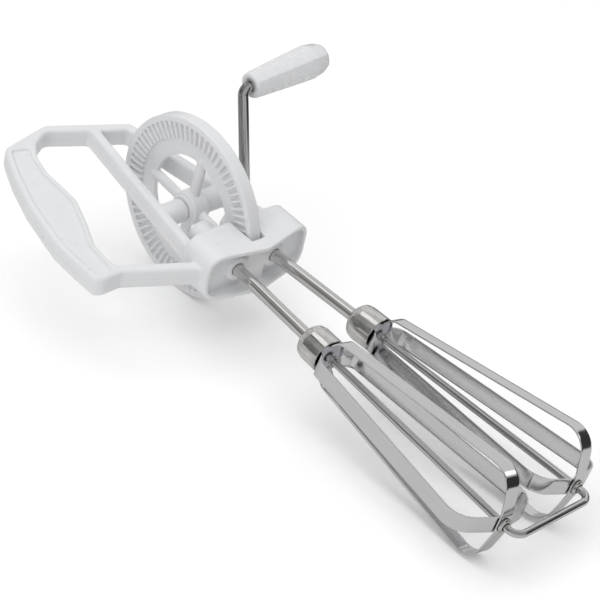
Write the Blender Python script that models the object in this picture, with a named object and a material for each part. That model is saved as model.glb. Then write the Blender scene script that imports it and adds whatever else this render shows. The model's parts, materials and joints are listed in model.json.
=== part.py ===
"""Hand-cranked rotary beater: a white frame with a double-faced gear wheel and two wire-and-strip beaters.

Every size is in millimetres and is turned into metres by MM. The tool's own axes are +X from the grip side
to the crank side, +Y from the beaters to the handle and +Z out of the frame's upper face, with the origin in
the gear wheel's hub. An empty called lying tips the finished tool so that it rests on the wheel and on the
beaters, with its lowest point on Z = 0.
"""
import math

import bmesh
import bpy
from mathutils import Matrix, Vector

MM = 0.001

# Running and seating clearances
RUN = 0.15              # a shaft in its bore, on the radius
GAP = 0.3               # between two faces that meet

# Gear wheel and pinions
SHAFT_X = 7.62          # half the distance between the shafts at the wheel's axis
WHEEL_R = 41.5
RIM_W = 6.1
LIP_W = 3.0             # plain rim outside the teeth
PINION_TEETH = 15
FACE_W = 7.4            # length of the teeth along the wheel's radius
TOOTH_H = 1.4
TOOTH_RAMP = 0.8        # slope at the teeth's inner end
WHEEL_TOOTH = (0.30, 0.50)      # width at the tooth's top and foot, as shares of its pitch
PINION_TOOTH = (0.17, 0.40)
PINION_TIP_R = SHAFT_X + 0.53
WEB_IN_R = 23.5
WEB_W = 2.2
SPOKES = 4
SPOKE_R = 2.05
SPOKE_W = 5.0
SPOKE_TURN = 4.0        # degrees from the handle side
HUB_R = 7.8
HUB_W = 8.4
COLLAR_R = 6.2
COLLAR_W = 10.4
PINION_HUB_R = 6.1
PINION_TOP = 14.5       # from the wheel's axis, down the shaft
PINION_FOOT_R = 4.2

# Shafts and beaters, lengths down the shaft from the wheel's axis
SPLAY = 3.507           # degrees
WIRE_R = 1.6
TUBE_WALL = 0.7
TUBE_R = WIRE_R + 0.45 + TUBE_WALL
TUBE_TOP = 18.5
WIRE_TOP = 24.0
BAR_DROP = 8.0          # from the blades' tip to the cross bar
WIRE_BEND = 4.7
FERRULE_TOP = 91.3
FERRULE_L = 14.6
FERRULE_R = 8.1
FERRULE_WALL = 0.6
BLADE_T = 0.6
BLADE_W = 7.3
BLADE_MOUTH_R = FERRULE_R - FERRULE_WALL - GAP - BLADE_T / 2    # the strips' middle line in the ferrule
SHOULDER_R = 11.0
SHOULDER_DROP = 4.6     # from the ferrule's mouth
BELLY_R = 21.0
BELLY_DROP = 94.4
BELLY_BEND = 10.4
END_TILT = 75.0         # degrees from the shaft
CROSS_STEP = 1.0        # from the inner loop's tip to the outer loop's
TIP_FLAT = 4.3
EYELET_WALL = 0.5
EYELET_R = WIRE_R + 0.35 + EYELET_WALL
EYELET_FLANGE = 0.9
LEFT_PHASE = -11.6      # degrees of the first blade
RIGHT_PHASE = -17.2
CLIP_DROP = 2.6
CLIP_T = 0.8
CLIP_REACH = 4.6

# Crank
CRANK_R = 45.6
CRANK_TURN = 16.3       # degrees from the frame's normal to the handle side
PIN_LEAN = 3.3          # degrees that the knob's pin leans out along the arm
ROD_R = 2.35
ROD_BEND = 3.4
ARM_GAP = 0.4           # from the housing's flank to the passing arm
AXLE_END = 17.4
KNOB_L = 42.6
KNOB_MOUTH_R = 5.9
KNOB_BELLY_R = 7.8
KNOB_END_R = 6.4
KNOB_FLATS = 8
KNOB_FLATNESS = 0.75    # 0 is round and 1 has sharp edges between its flats
KNOB_WALL = 7.0         # solid plastic at the closed end
SLEEVE_WALL = 0.45
SLEEVE_LIP = 0.4
POCKET_R = 4.3
RETAINER_T = 0.8
RETAINER_ROOM = 3.0

# Frame
FRAME_T = 9.4
FRAME_EDGE = 1.6
STRUT_W = 5.0
STRUT_TOP_X = 7.26      # half spacing of the struts at the upper arm
STRUT_TOP_Y = 59.4
STRUT_SPREAD = 0.175
BOSS_R = 5.2
RECESS_RIM = 2.7
RECESS_DEPTH = 1.1
HOUSING_X = 28.1
HOUSING_Z = 11.8
HOUSING_WALL = 2.0
HOUSING_ROUND = 9.2
DECK_TOP = WHEEL_R - 14.5       # from the wheel's axis
BULKHEAD = WHEEL_R - LIP_W + 1.0
BULKHEAD_T = 1.4
MOUTH_SIDE = BULKHEAD + 3.0
MOUTH_TIP = BULKHEAD + 10.0
BEARING_R = 5.5
BEARING_END = BULKHEAD + BULKHEAD_T + 2.8
POCKET_WALL = 1.5

ROUND = 32              # columns of an ordinary round


# ------------------------------------------------------------------ worked out from the sizes above
TEETH_OUT = WHEEL_R - LIP_W
TEETH_IN = TEETH_OUT - FACE_W
SLOPE = math.tan(math.radians(SPLAY))
PINION_ROOT_R = PINION_TIP_R - TOOTH_H
# An even count of wheel teeth whose pitch is the pinions' where they meet
WHEEL_TEETH = 2 * round(PINION_TEETH * (TEETH_OUT + TEETH_IN) / (PINION_TIP_R + PINION_ROOT_R) / 2)
PITCH = 2 * math.pi / WHEEL_TEETH
MESH_GAP = 0.25
FERRULE_MOUTH = FERRULE_TOP + FERRULE_L
BELLY = FERRULE_MOUTH + BELLY_DROP
HALF_BLADE = BLADE_W / 2
ROD_BORE = ROD_R + RUN
ARM_X = HOUSING_X + ARM_GAP + ROD_R
KNOB_START = ROD_BEND + SLEEVE_LIP + GAP        # along the pin, from the arm's middle line
KNOB_END = KNOB_START + KNOB_L


def shaft_x(down):
    """Distance of a shaft's axis from the wheel's mid-plane, at a place down the tool."""
    return SHAFT_X + SLOPE * down


def strut_x(y):
    """Middle line of a strut."""
    return STRUT_TOP_X + STRUT_SPREAD * (STRUT_TOP_Y - y)


# ------------------------------------------------------------------ materials

def material(name, colour, roughness, metallic=0.0):
    made = bpy.data.materials.new(name)
    made.use_nodes = True
    shader = made.node_tree.nodes["Principled BSDF"]
    shader.inputs["Base Color"].default_value = (*colour, 1.0)
    shader.inputs["Roughness"].default_value = roughness
    shader.inputs["Metallic"].default_value = metallic
    made.diffuse_color = (*colour, 1.0)
    return made


# ------------------------------------------------------------------ mesh helpers

def add_object(name, bm, slot, parent=None):
    """Turn a bmesh in millimetres into an object under a parent."""
    bmesh.ops.scale(bm, vec=(MM, MM, MM), verts=bm.verts)
    bmesh.ops.recalc_face_normals(bm, faces=bm.faces)
    mesh = bpy.data.meshes.new(name)
    bm.to_mesh(mesh)
    bm.free()
    mesh.materials.append(slot)
    made = bpy.data.objects.new(name, mesh)
    bpy.context.scene.collection.objects.link(made)
    made.parent = parent
    return made


def add_empty(name, parent=None, place=(0, 0, 0), turn=(0, 0, 0)):
    made = bpy.data.objects.new(name, None)
    bpy.context.scene.collection.objects.link(made)
    made.parent = parent
    made.location = Vector(place) * MM
    made.rotation_euler = turn
    return made


def axle_frame(name, parent, place=(0, 0, 0)):
    """An empty whose own Z runs along X, as the axle and the crank pin do."""
    return add_empty(name, parent, place, (math.pi / 2, 0, math.pi / 2))


def loft(bm, rings, closed=False):
    """Skin a list of rings of points. An open loft gets a flat cap at each end."""
    rows = [[bm.verts.new(point) for point in ring] for ring in rings]
    count = len(rows[0])
    steps = len(rows) if closed else len(rows) - 1
    for i in range(steps):
        near, far = rows[i], rows[(i + 1) % len(rows)]
        for j in range(count):
            k = (j + 1) % count
            bm.faces.new((near[j], near[k], far[k], far[j]))
    if not closed:
        bm.faces.new(rows[0])
        bm.faces.new(rows[-1])
    return bm


def circle(radius, height, columns=ROUND):
    """A ring of points about Z."""
    step = 2 * math.pi / columns
    return [Vector((radius * math.cos(j * step), radius * math.sin(j * step), height))
            for j in range(columns)]


def lathe(name, profile, slot, parent=None, hollow=False, columns=ROUND):
    """A round body about Z from (radius, height) pairs. A hollow one joins its last ring to its first."""
    bm = loft(bmesh.new(), [circle(r, z, columns) for r, z in profile], closed=hollow)
    return add_object(name, bm, slot, parent)


def prism(name, outline, low, high, parent):
    """A tool: a flat outline in X and Y, raised from low to high."""
    bm = loft(bmesh.new(), [[Vector((x, y, z)) for x, y in outline] for z in (low, high)])
    return add_object(name, bm, None, parent)


def rounded(corners, steps=4):
    """An outline from (x, y, radius) corners, with an arc of that radius at each corner."""
    points = []
    count = len(corners)
    for i, (x, y, radius) in enumerate(corners):
        here = Vector((x, y))
        back = Vector(corners[i - 1][:2]) - here
        ahead = Vector(corners[(i + 1) % count][:2]) - here
        half = back.angle(ahead) / 2
        reach = min(radius / math.tan(half), 0.49 * back.length, 0.49 * ahead.length)
        if reach < 0.01:
            points.append((x, y))
            continue
        start = here + back.normalized() * reach
        end = here + ahead.normalized() * reach
        for k in range(steps + 1):
            t = k / steps
            spot = start * (1 - t) ** 2 + here * 2 * t * (1 - t) + end * t ** 2
            points.append((spot.x, spot.y))
    return points


def inset(outline, distance):
    """The outline moved inward by a distance. It runs anticlockwise."""
    moved = []
    count = len(outline)
    for i in range(count):
        a, b, c = (Vector(outline[(i + k) % count]) for k in (-1, 0, 1))
        before = (b - a).normalized()
        after = (c - b).normalized()
        normal = Vector((-before.y - after.y, before.x + after.x)).normalized()
        stretch = max(normal.dot(Vector((-after.y, after.x))), 0.5)
        moved.append(tuple(b + normal * distance / stretch))
    return moved


def boolean(target, tool, operation):
    """Join a tool to a target or cut it away. The tool stays hidden."""
    step = target.modifiers.new(tool.name, "BOOLEAN")
    step.object = tool
    step.operation = operation
    step.solver = "EXACT"
    tool.hide_render = True
    tool.display_type = "WIRE"


# ------------------------------------------------------------------ gear wheel

def wheel_columns():
    """Angle and tooth state of each column: two columns on the tooth's top, two on the root."""
    columns = []
    top, foot = (PITCH * share / 2 for share in WHEEL_TOOTH)
    for tooth in range(WHEEL_TEETH):
        middle = (tooth + 0.5) * PITCH
        columns += [(middle - foot, 0), (middle - top, 1), (middle + top, 1), (middle + foot, 0)]
    return columns


def add_wheel(slot, parent):
    columns = wheel_columns()

    def ring(radius, side, root, top):
        return [Vector((radius * math.cos(a), radius * math.sin(a), side * (top if high else root)))
                for a, high in columns]

    def tooth_heights(radius):
        line = shaft_x(radius)
        return line - PINION_TIP_R - MESH_GAP, line - PINION_ROOT_R - MESH_GAP

    half = RIM_W / 2
    web = WEB_W / 2
    rings = []
    for side in (1, -1):
        out_root, out_top = tooth_heights(TEETH_OUT)
        in_root, in_top = tooth_heights(TEETH_IN)
        face = [ring(WHEEL_R, side, half, half),
                ring(TEETH_OUT + 0.1, side, half, half),
                ring(TEETH_OUT, side, out_root, min(out_top, half - 0.02)),
                ring(TEETH_IN, side, in_root, in_top),
                ring(TEETH_IN - TOOTH_RAMP, side, web, web),
                ring(WEB_IN_R, side, web, web)]
        rings += face if side > 0 else face[::-1]
    wheel = add_object("gear_wheel", loft(bmesh.new(), rings, closed=True), slot, parent)

    hub = lathe("wheel_hub_tool", [(COLLAR_R, -COLLAR_W / 2), (COLLAR_R, -HUB_W / 2),
                                   (HUB_R, -HUB_W / 2 + 0.6), (HUB_R, HUB_W / 2 - 0.6),
                                   (COLLAR_R, HUB_W / 2), (COLLAR_R, COLLAR_W / 2)], None, parent)
    boolean(wheel, hub, "UNION")
    reach = WEB_IN_R + 1.5
    for i in range(SPOKES):
        angle = math.radians(SPOKE_TURN) + i * 2 * math.pi / SPOKES
        section = [(SPOKE_W / 2 * math.cos(t), SPOKE_R * math.sin(t))
                   for t in (2 * math.pi * k / 12 for k in range(12))]
        rings = [[Vector((along, y, z)) for y, z in section] for along in (ROD_BORE + 2, reach)]
        bm = loft(bmesh.new(), rings)
        bmesh.ops.rotate(bm, verts=bm.verts, matrix=Matrix.Rotation(angle, 3, "Z"))
        boolean(wheel, add_object(f"spoke_{i}_tool", bm, None, parent), "UNION")
    bore = lathe("wheel_bore_tool", [(ROD_BORE, -COLLAR_W), (ROD_BORE, COLLAR_W)], None, parent)
    boolean(wheel, bore, "DIFFERENCE")
    return wheel


# ------------------------------------------------------------------ crank and knob

def bend_path(corners, radius, steps=5):
    """Straight runs between corners with an arc of the radius at each inner corner."""
    points = [Vector(corners[0])]
    for i in range(1, len(corners) - 1):
        here = Vector(corners[i])
        back = (Vector(corners[i - 1]) - here).normalized()
        ahead = (Vector(corners[i + 1]) - here).normalized()
        half = back.angle(ahead) / 2
        reach = radius / math.tan(half)
        centre = here + (back + ahead).normalized() * radius / math.sin(half)
        first = here + back * reach - centre
        axis = first.cross(here + ahead * reach - centre)
        sweep = math.pi - 2 * half
        for k in range(steps + 1):
            points.append(centre + Matrix.Rotation(sweep * k / steps, 3, axis) @ first)
    points.append(Vector(corners[-1]))
    return points


def add_rod(name, points, radius, slot, parent, resolution=4):
    """A round rod along a path, as a curve with closed ends."""
    curve = bpy.data.curves.new(name, "CURVE")
    curve.dimensions = "3D"
    curve.bevel_depth = radius * MM
    curve.bevel_resolution = resolution
    curve.render_resolution_u = 0
    curve.use_fill_caps = True
    curve.twist_mode = "MINIMUM"
    spline = curve.splines.new("POLY")
    spline.points.add(len(points) - 1)
    for knot, point in zip(spline.points, points):
        knot.co = (*(point * MM), 1.0)
    curve.materials.append(slot)
    made = bpy.data.objects.new(name, curve)
    bpy.context.scene.collection.objects.link(made)
    made.parent = parent
    return made


def arm_way():
    return Vector((0, math.sin(math.radians(CRANK_TURN)), math.cos(math.radians(CRANK_TURN))))


def arm_end():
    """Where the arm's middle line meets the pin's."""
    return Vector((ARM_X, 0, 0)) + arm_way() * CRANK_R


def pin_turn():
    """Turns the wheel's axis to the way of the knob's pin."""
    return Matrix.Rotation(math.radians(PIN_LEAN), 3, Vector((1, 0, 0)).cross(arm_way()))


def add_pin(name, crank):
    """An empty at the arm's end whose X runs along the pin."""
    return add_empty(name, crank, arm_end(), pin_turn().to_euler())


def add_crank(slots, crank, knob):
    """The gear wheel and the bent rod turn together about X, and the knob turns on the rod's pin."""
    add_wheel(slots["plastic"], axle_frame("wheel_plane", crank))

    retainer_at = KNOB_END - KNOB_WALL - RETAINER_ROOM + GAP
    pin_end = retainer_at + RETAINER_T + 0.8
    corners = [(-AXLE_END, 0, 0), (ARM_X, 0, 0), arm_end(), arm_end() + pin_turn() @ Vector((pin_end, 0, 0))]
    add_rod("crank_rod", bend_path(corners, ROD_BEND), ROD_R, slots["steel"], crank)

    lathe("knob_retainer", [(ROD_BORE, retainer_at), (POCKET_R - GAP, retainer_at),
                            (POCKET_R - GAP, retainer_at + RETAINER_T), (ROD_BORE, retainer_at + RETAINER_T)],
          slots["steel"], axle_frame("retainer_seat", add_pin("retainer_pin", crank)), hollow=True)

    add_knob(slots, axle_frame("knob_seat", knob))


def faceted(radius, height):
    """A ring with soft flats, four columns to each flat."""
    columns = KNOB_FLATS * 4
    flat = 2 * math.pi / KNOB_FLATS
    points = []
    for j in range(columns):
        angle = 2 * math.pi * j / columns
        off = angle % flat - flat / 2
        sharp = math.cos(flat / 2) / math.cos(off)
        reach = radius * (1 - KNOB_FLATNESS + KNOB_FLATNESS * sharp)
        points.append(Vector((reach * math.cos(angle), reach * math.sin(angle), height)))
    return points


def add_knob(slots, parent):
    """The knob swells to its belly and tapers again to a rounded end. A steel sleeve lines its bore."""
    columns = KNOB_FLATS * 4
    sleeve_r = ROD_R + RUN + SLEEVE_WALL
    bore = sleeve_r + RUN
    span = KNOB_END - KNOB_START
    pocket = KNOB_END - KNOB_WALL
    rings = [circle(bore, KNOB_START, columns), circle(KNOB_MOUTH_R - 0.8, KNOB_START, columns)]
    rings.append(faceted(KNOB_MOUTH_R, KNOB_START + 0.8))
    for share, radius in ((0.4, 0.5), (0.79, 1.0), (0.81, 1.0)):
        reach = KNOB_MOUTH_R + (KNOB_BELLY_R - KNOB_MOUTH_R) * radius
        rings.append(faceted(reach, KNOB_START + span * share))
    rings += [faceted(KNOB_END_R, KNOB_END - 1.6), circle(KNOB_END_R - 0.7, KNOB_END - 0.5, columns),
              circle(KNOB_END_R - 2.6, KNOB_END, columns)]
    inner = [circle(bore, KNOB_START, columns), circle(bore, pocket - RETAINER_ROOM, columns),
             circle(POCKET_R, pocket - RETAINER_ROOM, columns), circle(POCKET_R, pocket, columns)]
    add_object("crank_knob", loft(bmesh.new(), inner[::-1] + rings[1:]), slots["plastic"], parent)

    end = pocket - RETAINER_ROOM - GAP
    start = KNOB_START - SLEEVE_LIP
    lathe("knob_sleeve", [(ROD_BORE, start), (sleeve_r, start), (sleeve_r, end), (ROD_BORE, end)],
          slots["steel"], parent, hollow=True)


# ------------------------------------------------------------------ beaters, built down the shaft's own Z

def add_pinion(side, slot, parent):
    """Smooth hub, straight teeth and a thrust foot, in four columns to each tooth."""
    toward_wheel = math.pi if side > 0 else 0.0
    pitch = 2 * math.pi / PINION_TEETH
    top, foot = (pitch * share / 2 for share in PINION_TOOTH)
    columns = []
    for tooth in range(PINION_TEETH):
        middle = toward_wheel + tooth * pitch
        columns += [(middle - foot, 0), (middle - top, 1), (middle + top, 1), (middle + foot, 0)]

    def ring(root, tip, height):
        return [Vector(((tip if high else root) * math.cos(a), (tip if high else root) * math.sin(a), height))
                for a, high in columns]

    def plain(radius, height):
        return ring(radius, radius, height)

    bore = TUBE_R + RUN
    low = TEETH_IN - 0.2
    high = TEETH_OUT - PINION_TIP_R * SLOPE - MESH_GAP
    foot_end = BULKHEAD - GAP
    rings = [plain(PINION_HUB_R * 0.62, PINION_TOP), plain(PINION_HUB_R * 0.9, PINION_TOP + 0.7),
             plain(PINION_HUB_R, PINION_TOP + 2.2), plain(PINION_HUB_R, low - 0.3),
             ring(PINION_ROOT_R, PINION_TIP_R, low), ring(PINION_ROOT_R, PINION_TIP_R, high),
             plain(PINION_FOOT_R, high + 0.1), plain(PINION_FOOT_R, foot_end),
             plain(bore, foot_end), plain(bore, TUBE_TOP - GAP)]
    add_object(f"{side_name(side)}_pinion", loft(bmesh.new(), rings), slot, parent)


def side_name(side):
    return "right" if side > 0 else "left"


def blade_path(tip):
    """(down, radius, flatness) stations of one blade from the ferrule to the flat tip.

    Flatness is 0 where the strip follows the ferrule's round wall and 1 where its section is straight.
    """
    shoulder = FERRULE_MOUTH + SHOULDER_DROP
    taper = math.atan2(BELLY_R - SHOULDER_R, BELLY - shoulder)
    step = tip - outer_tip()
    stations = [(FERRULE_MOUTH - 9.5, BLADE_MOUTH_R, 0.0), (FERRULE_MOUTH + GAP, BLADE_MOUTH_R, 0.0),
                (shoulder, SHOULDER_R, 1.0)]
    lengths = 5
    for k in range(1, lengths + 1):
        share = k / lengths
        down = shoulder + (BELLY - shoulder) * share
        stations.append((down, SHOULDER_R + (BELLY_R - SHOULDER_R) * share, 1.0))
    centre_down = BELLY + BELLY_BEND * math.sin(taper)
    centre_r = BELLY_R - BELLY_BEND * math.cos(taper)
    end = -math.radians(END_TILT)
    arc = 7
    for k in range(1, arc + 1):
        angle = taper + (end - taper) * k / arc
        stations.append((centre_down - BELLY_BEND * math.sin(angle) + step * k / arc,
                         centre_r + BELLY_BEND * math.cos(angle), 1.0))
    return stations


def outer_tip():
    """Down-shaft place of the outer loop's flat tip, where the straight end run meets it."""
    taper = math.atan2(BELLY_R - SHOULDER_R, BELLY_DROP - SHOULDER_DROP)
    end = math.radians(END_TILT)
    arc_down = BELLY + BELLY_BEND * (math.sin(taper) + math.sin(end))
    arc_r = BELLY_R - BELLY_BEND * math.cos(taper) + BELLY_BEND * math.cos(end)
    return arc_down + (arc_r - TIP_FLAT) / math.tan(end)


def add_loop(name, tip, phase, slot, parent):
    """Two blades and the flat tip between them, as one strip with a hole, thickened by Solidify."""
    bm = bmesh.new()
    hole_r = EYELET_R + RUN
    across = 4
    shares = [k / across * 2 - 1 for k in range(across + 1)]
    hole_points = across * 4
    square = [(TIP_FLAT, HALF_BLADE * s) for s in shares]
    square += [(TIP_FLAT * (1 - 2 * k / across), HALF_BLADE) for k in range(1, across)]
    square += [(-TIP_FLAT, -HALF_BLADE * s) for s in shares]
    square += [(-TIP_FLAT * (1 - 2 * k / across), -HALF_BLADE) for k in range(1, across)]
    rim = [bm.verts.new((x, y, tip)) for x, y in square]
    hole = []
    for k in range(hole_points):
        x, y = square[k]
        angle = math.atan2(y, x)
        hole.append(bm.verts.new((hole_r * math.cos(angle), hole_r * math.sin(angle), tip)))
    for k in range(hole_points):
        n = (k + 1) % hole_points
        bm.faces.new((rim[k], rim[n], hole[n], hole[k]))
    for half in (1, -1):
        row = rim[:across + 1] if half > 0 else rim[2 * across:3 * across + 1][::-1]
        for down, radius, flat in reversed(blade_path(tip)):
            new = []
            for share in shares:
                width = HALF_BLADE * share
                bent = width / BLADE_MOUTH_R
                x = radius * flat + (1 - flat) * radius * math.cos(bent)
                y = width * flat + (1 - flat) * radius * math.sin(bent)
                new.append(bm.verts.new((half * x, y, down)))
            for k in range(across):
                bm.faces.new((row[k], row[k + 1], new[k + 1], new[k]))
            row = new
    bmesh.ops.rotate(bm, verts=bm.verts, matrix=Matrix.Rotation(math.radians(phase), 3, "Z"))
    loop = add_object(name, bm, slot, parent)
    thick = loop.modifiers.new("strip", "SOLIDIFY")
    thick.thickness = BLADE_T * MM
    thick.offset = 0.0
    thick.use_even_offset = True
    return loop


def add_beater(side, phase, slots, parent):
    who = side_name(side)
    add_pinion(side, slots["plastic"], parent)

    tube_end = FERRULE_TOP + 4.6
    inner = TUBE_R - TUBE_WALL
    lathe(f"{who}_shaft", [(inner, TUBE_TOP), (TUBE_R, TUBE_TOP), (TUBE_R, tube_end), (inner, tube_end)],
          slots["steel"], parent, hollow=True)

    fit = TUBE_R + RUN
    wall = FERRULE_WALL
    lathe(f"{who}_ferrule",
          [(fit, FERRULE_TOP), (FERRULE_R - 2.6, FERRULE_TOP), (FERRULE_R - 0.8, FERRULE_TOP + 0.9),
           (FERRULE_R, FERRULE_TOP + 2.8), (FERRULE_R, FERRULE_MOUTH), (FERRULE_R - wall, FERRULE_MOUTH),
           (FERRULE_R - wall, FERRULE_TOP + 3.0), (FERRULE_R - wall - 1.0, FERRULE_TOP + 1.6),
           (fit, FERRULE_TOP + 1.2)], slots["ferrule"], parent, hollow=True)

    plug_r = BLADE_MOUTH_R - BLADE_T / 2 - GAP
    wire_hole = WIRE_R + 0.8
    plug_top = FERRULE_TOP + 1.8
    lathe(f"{who}_plug",
          [(fit, plug_top), (plug_r - 0.8, plug_top), (plug_r, plug_top + 1.4), (plug_r, FERRULE_MOUTH - 0.8),
           (wire_hole, FERRULE_MOUTH - 0.8), (wire_hole, tube_end + GAP), (fit, tube_end + GAP)],
          slots["plug"], parent, hollow=True)

    tip = outer_tip()
    add_loop(f"{who}_outer_loop", tip, phase + 90, slots["blade"], parent)
    add_loop(f"{who}_inner_loop", tip - CROSS_STEP, phase, slots["blade"], parent)

    eye_in = EYELET_R - EYELET_WALL
    top = tip - CROSS_STEP - BLADE_T / 2 - GAP
    end = tip + BLADE_T / 2 + GAP
    flange = EYELET_R + EYELET_FLANGE
    lathe(f"{who}_eyelet", [(eye_in, top - 0.6), (flange, top - 0.6), (flange, top), (EYELET_R, top),
                            (EYELET_R, end), (flange, end), (flange, end + 0.6), (eye_in, end + 1.1)],
          slots["steel"], parent, hollow=True, columns=24)


# ------------------------------------------------------------------ centre wire and its clips

def shaft_point(side, down):
    angle = math.radians(SPLAY)
    return Vector((side * (SHAFT_X + math.sin(angle) * down), -math.cos(angle) * down, 0))


def add_wire(slots, parent, axes):
    bar = outer_tip() + BAR_DROP
    corners = [shaft_point(-1, WIRE_TOP), shaft_point(-1, bar), shaft_point(1, bar), shaft_point(1, WIRE_TOP)]
    add_rod("centre_wire", bend_path(corners, WIRE_BEND), WIRE_R, slots["wire"], parent)
    grip = WIRE_R + RUN
    top = FERRULE_MOUTH + CLIP_DROP
    for side, axis in axes.items():
        clip = lathe(f"{side_name(side)}_stop_clip",
                     [(grip, top), (grip + 1.1, top), (grip + 1.1, top + CLIP_T), (grip, top + CLIP_T)],
                     slots["steel"], axis, hollow=True, columns=24)
        ear = [(-0.9, -CLIP_REACH), (0.9, -CLIP_REACH), (0.9, -grip - 0.3), (-0.9, -grip - 0.3)]
        boolean(clip, prism(f"{side_name(side)}_ear_tool", ear, top, top + CLIP_T, axis), "UNION")


# ------------------------------------------------------------------ frame

GRIP_OUTER = [(-72.3, -10.0), (-71.9, 2.0), (-69.6, 13.2), (-65.9, 29.8), (-59.5, 48.4), (-53.2, 62.5)]
GRIP_INNER = [(-44.2, 62.6), (-42.6, 52.0), (-44.3, 36.0), (-45.2, 24.0), (-52.4, 5.0), (-57.6, -5.5),
              (-58.9, 11.5 - DECK_TOP)]
UPPER_OUT = [(-50.8, 66.6), (-25.1, 72.5), (10.6, 56.2)]
LOWER_OUT = [(-72.2, 2.8 - DECK_TOP), (-68.4, 1.1 - DECK_TOP), (-59.1, 1.4 - DECK_TOP)]
ARM_SLOPE = -0.457      # both arms run down towards the crank side
ARM_W = 5.4
LOWER_ARM_X, LOWER_ARM_Y = LOWER_OUT[-1]    # the lower arm's lower edge at the grip


def lower_edge(x):
    return LOWER_ARM_Y + ARM_SLOPE * (x - LOWER_ARM_X)


def upper_edge(x):
    (x0, y0), (x1, y1) = UPPER_OUT[1:]
    return y0 + (y1 - y0) * (x - x0) / (x1 - x0)


def frame_outline():
    """Anticlockwise: up the crank side, along the upper arm, down the grip, along the lower arm."""
    foot_y = -DECK_TOP - 3
    foot_x = strut_x(foot_y) + STRUT_W / 2
    inner_x = -HOUSING_X + 4
    corners = [(foot_x, foot_y, 0), (*UPPER_OUT[2], 3), (*UPPER_OUT[1], 5), (*UPPER_OUT[0], 5)]
    corners += [(x, y, 8) for x, y in GRIP_OUTER[::-1]]
    corners += [(x, y, 3) for x, y in LOWER_OUT]
    corners += [(inner_x, lower_edge(inner_x), 0), (inner_x + 6, foot_y - 6, 0)]
    return rounded(corners)


def finger_opening():
    """Anticlockwise round the space behind the grip."""
    strut_low = -DECK_TOP + 2
    strut_high = upper_edge(-strut_x(56)) - ARM_W
    low_x = -strut_x(strut_low) - STRUT_W / 2
    high_x = -strut_x(strut_high) - STRUT_W / 2
    thick = ARM_W / math.cos(math.atan(ARM_SLOPE))
    corners = [(LOWER_ARM_X + 1, lower_edge(LOWER_ARM_X + 1) + thick, 2.5)]
    corners += [(low_x - 1.5, lower_edge(low_x - 1.5) + thick, 3)]
    corners += [(high_x, upper_edge(high_x) - thick, 2), (-28.0, 67.5, 5), (-36.5, 63.6, 6)]
    corners += [(x, y, 8) for x, y in GRIP_INNER]
    return rounded(corners)


def wheel_opening():
    """Anticlockwise round the space between the struts."""
    low = -DECK_TOP - 1
    thick = ARM_W / math.cos(math.atan(ARM_SLOPE))
    x_low = strut_x(low) - STRUT_W / 2
    corners = [(-x_low, low, 0), (x_low, low, 0)]
    right_y = upper_edge(5) - thick
    left_y = upper_edge(-5) - thick
    corners += [(strut_x(right_y) - STRUT_W / 2, right_y, 1.2), (-strut_x(left_y) + STRUT_W / 2, left_y, 1.2)]
    return rounded(corners)


def recess_outline():
    """The grip's panel, set in from the grip's own edges."""
    edge = GRIP_OUTER[::-1] + LOWER_OUT + GRIP_INNER[::-1] + UPPER_OUT[:1]
    return rounded([(x, y, 4) for x, y in inset(edge, RECESS_RIM)])


def add_plate(slot, parent):
    """The grip, arms and struts as one filled outline with two openings and rounded edges."""
    curve = bpy.data.curves.new("frame", "CURVE")
    curve.dimensions = "2D"
    curve.fill_mode = "BOTH"
    curve.extrude = (FRAME_T / 2 - FRAME_EDGE) * MM
    curve.bevel_depth = FRAME_EDGE * MM
    curve.bevel_resolution = 1
    curve.offset = -FRAME_EDGE * MM
    curve.render_resolution_u = 0
    for outline in (frame_outline(), finger_opening(), wheel_opening()):
        spline = curve.splines.new("POLY")
        spline.points.add(len(outline) - 1)
        spline.use_cyclic_u = True
        for knot, (x, y) in zip(spline.points, outline):
            knot.co = (x * MM, y * MM, 0, 1)
    source = bpy.data.objects.new("frame_source", curve)
    bpy.context.scene.collection.objects.link(source)
    bpy.context.view_layer.update()
    mesh = bpy.data.meshes.new_from_object(source.evaluated_get(bpy.context.evaluated_depsgraph_get()))
    bpy.data.objects.remove(source)
    bm = bmesh.new()
    bm.from_mesh(mesh)
    bmesh.ops.remove_doubles(bm, verts=bm.verts, dist=0.00002)
    bmesh.ops.scale(bm, vec=(1 / MM, 1 / MM, 1 / MM), verts=bm.verts)
    return add_object("frame", bm, slot, parent)


def oval(half_x, half_z, radius):
    """A rounded rectangle in X and Z, as an outline for a prism that runs along Y."""
    corners = [(half_x, -half_z, radius), (half_x, half_z, radius), (-half_x, half_z, radius),
               (-half_x, -half_z, radius)]
    return rounded(corners, 6)


def along_y(name, outline, start, end, parent):
    """A prism of an X and Z outline between two places down the tool."""
    rings = [[Vector((x, -y, z)) for x, z in outline] for y in (start, end)]
    return add_object(name, loft(bmesh.new(), rings), None, parent)


def box(name, low, high, parent):
    (x0, y0, z0), (x1, y1, z1) = low, high
    return prism(name, [(x0, y0), (x1, y0), (x1, y1), (x0, y1)], z0, z1, parent)


def down_shaft(name, side, radius, start, end, parent):
    """A cylinder on a shaft's axis."""
    axis = add_empty(f"{name}_axis", parent, (side * SHAFT_X, 0, 0), shaft_turn(side))
    return lathe(name, [(radius, start), (radius, end)], None, axis)


def shaft_turn(side):
    return (math.pi / 2, 0, side * math.radians(SPLAY))


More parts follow.
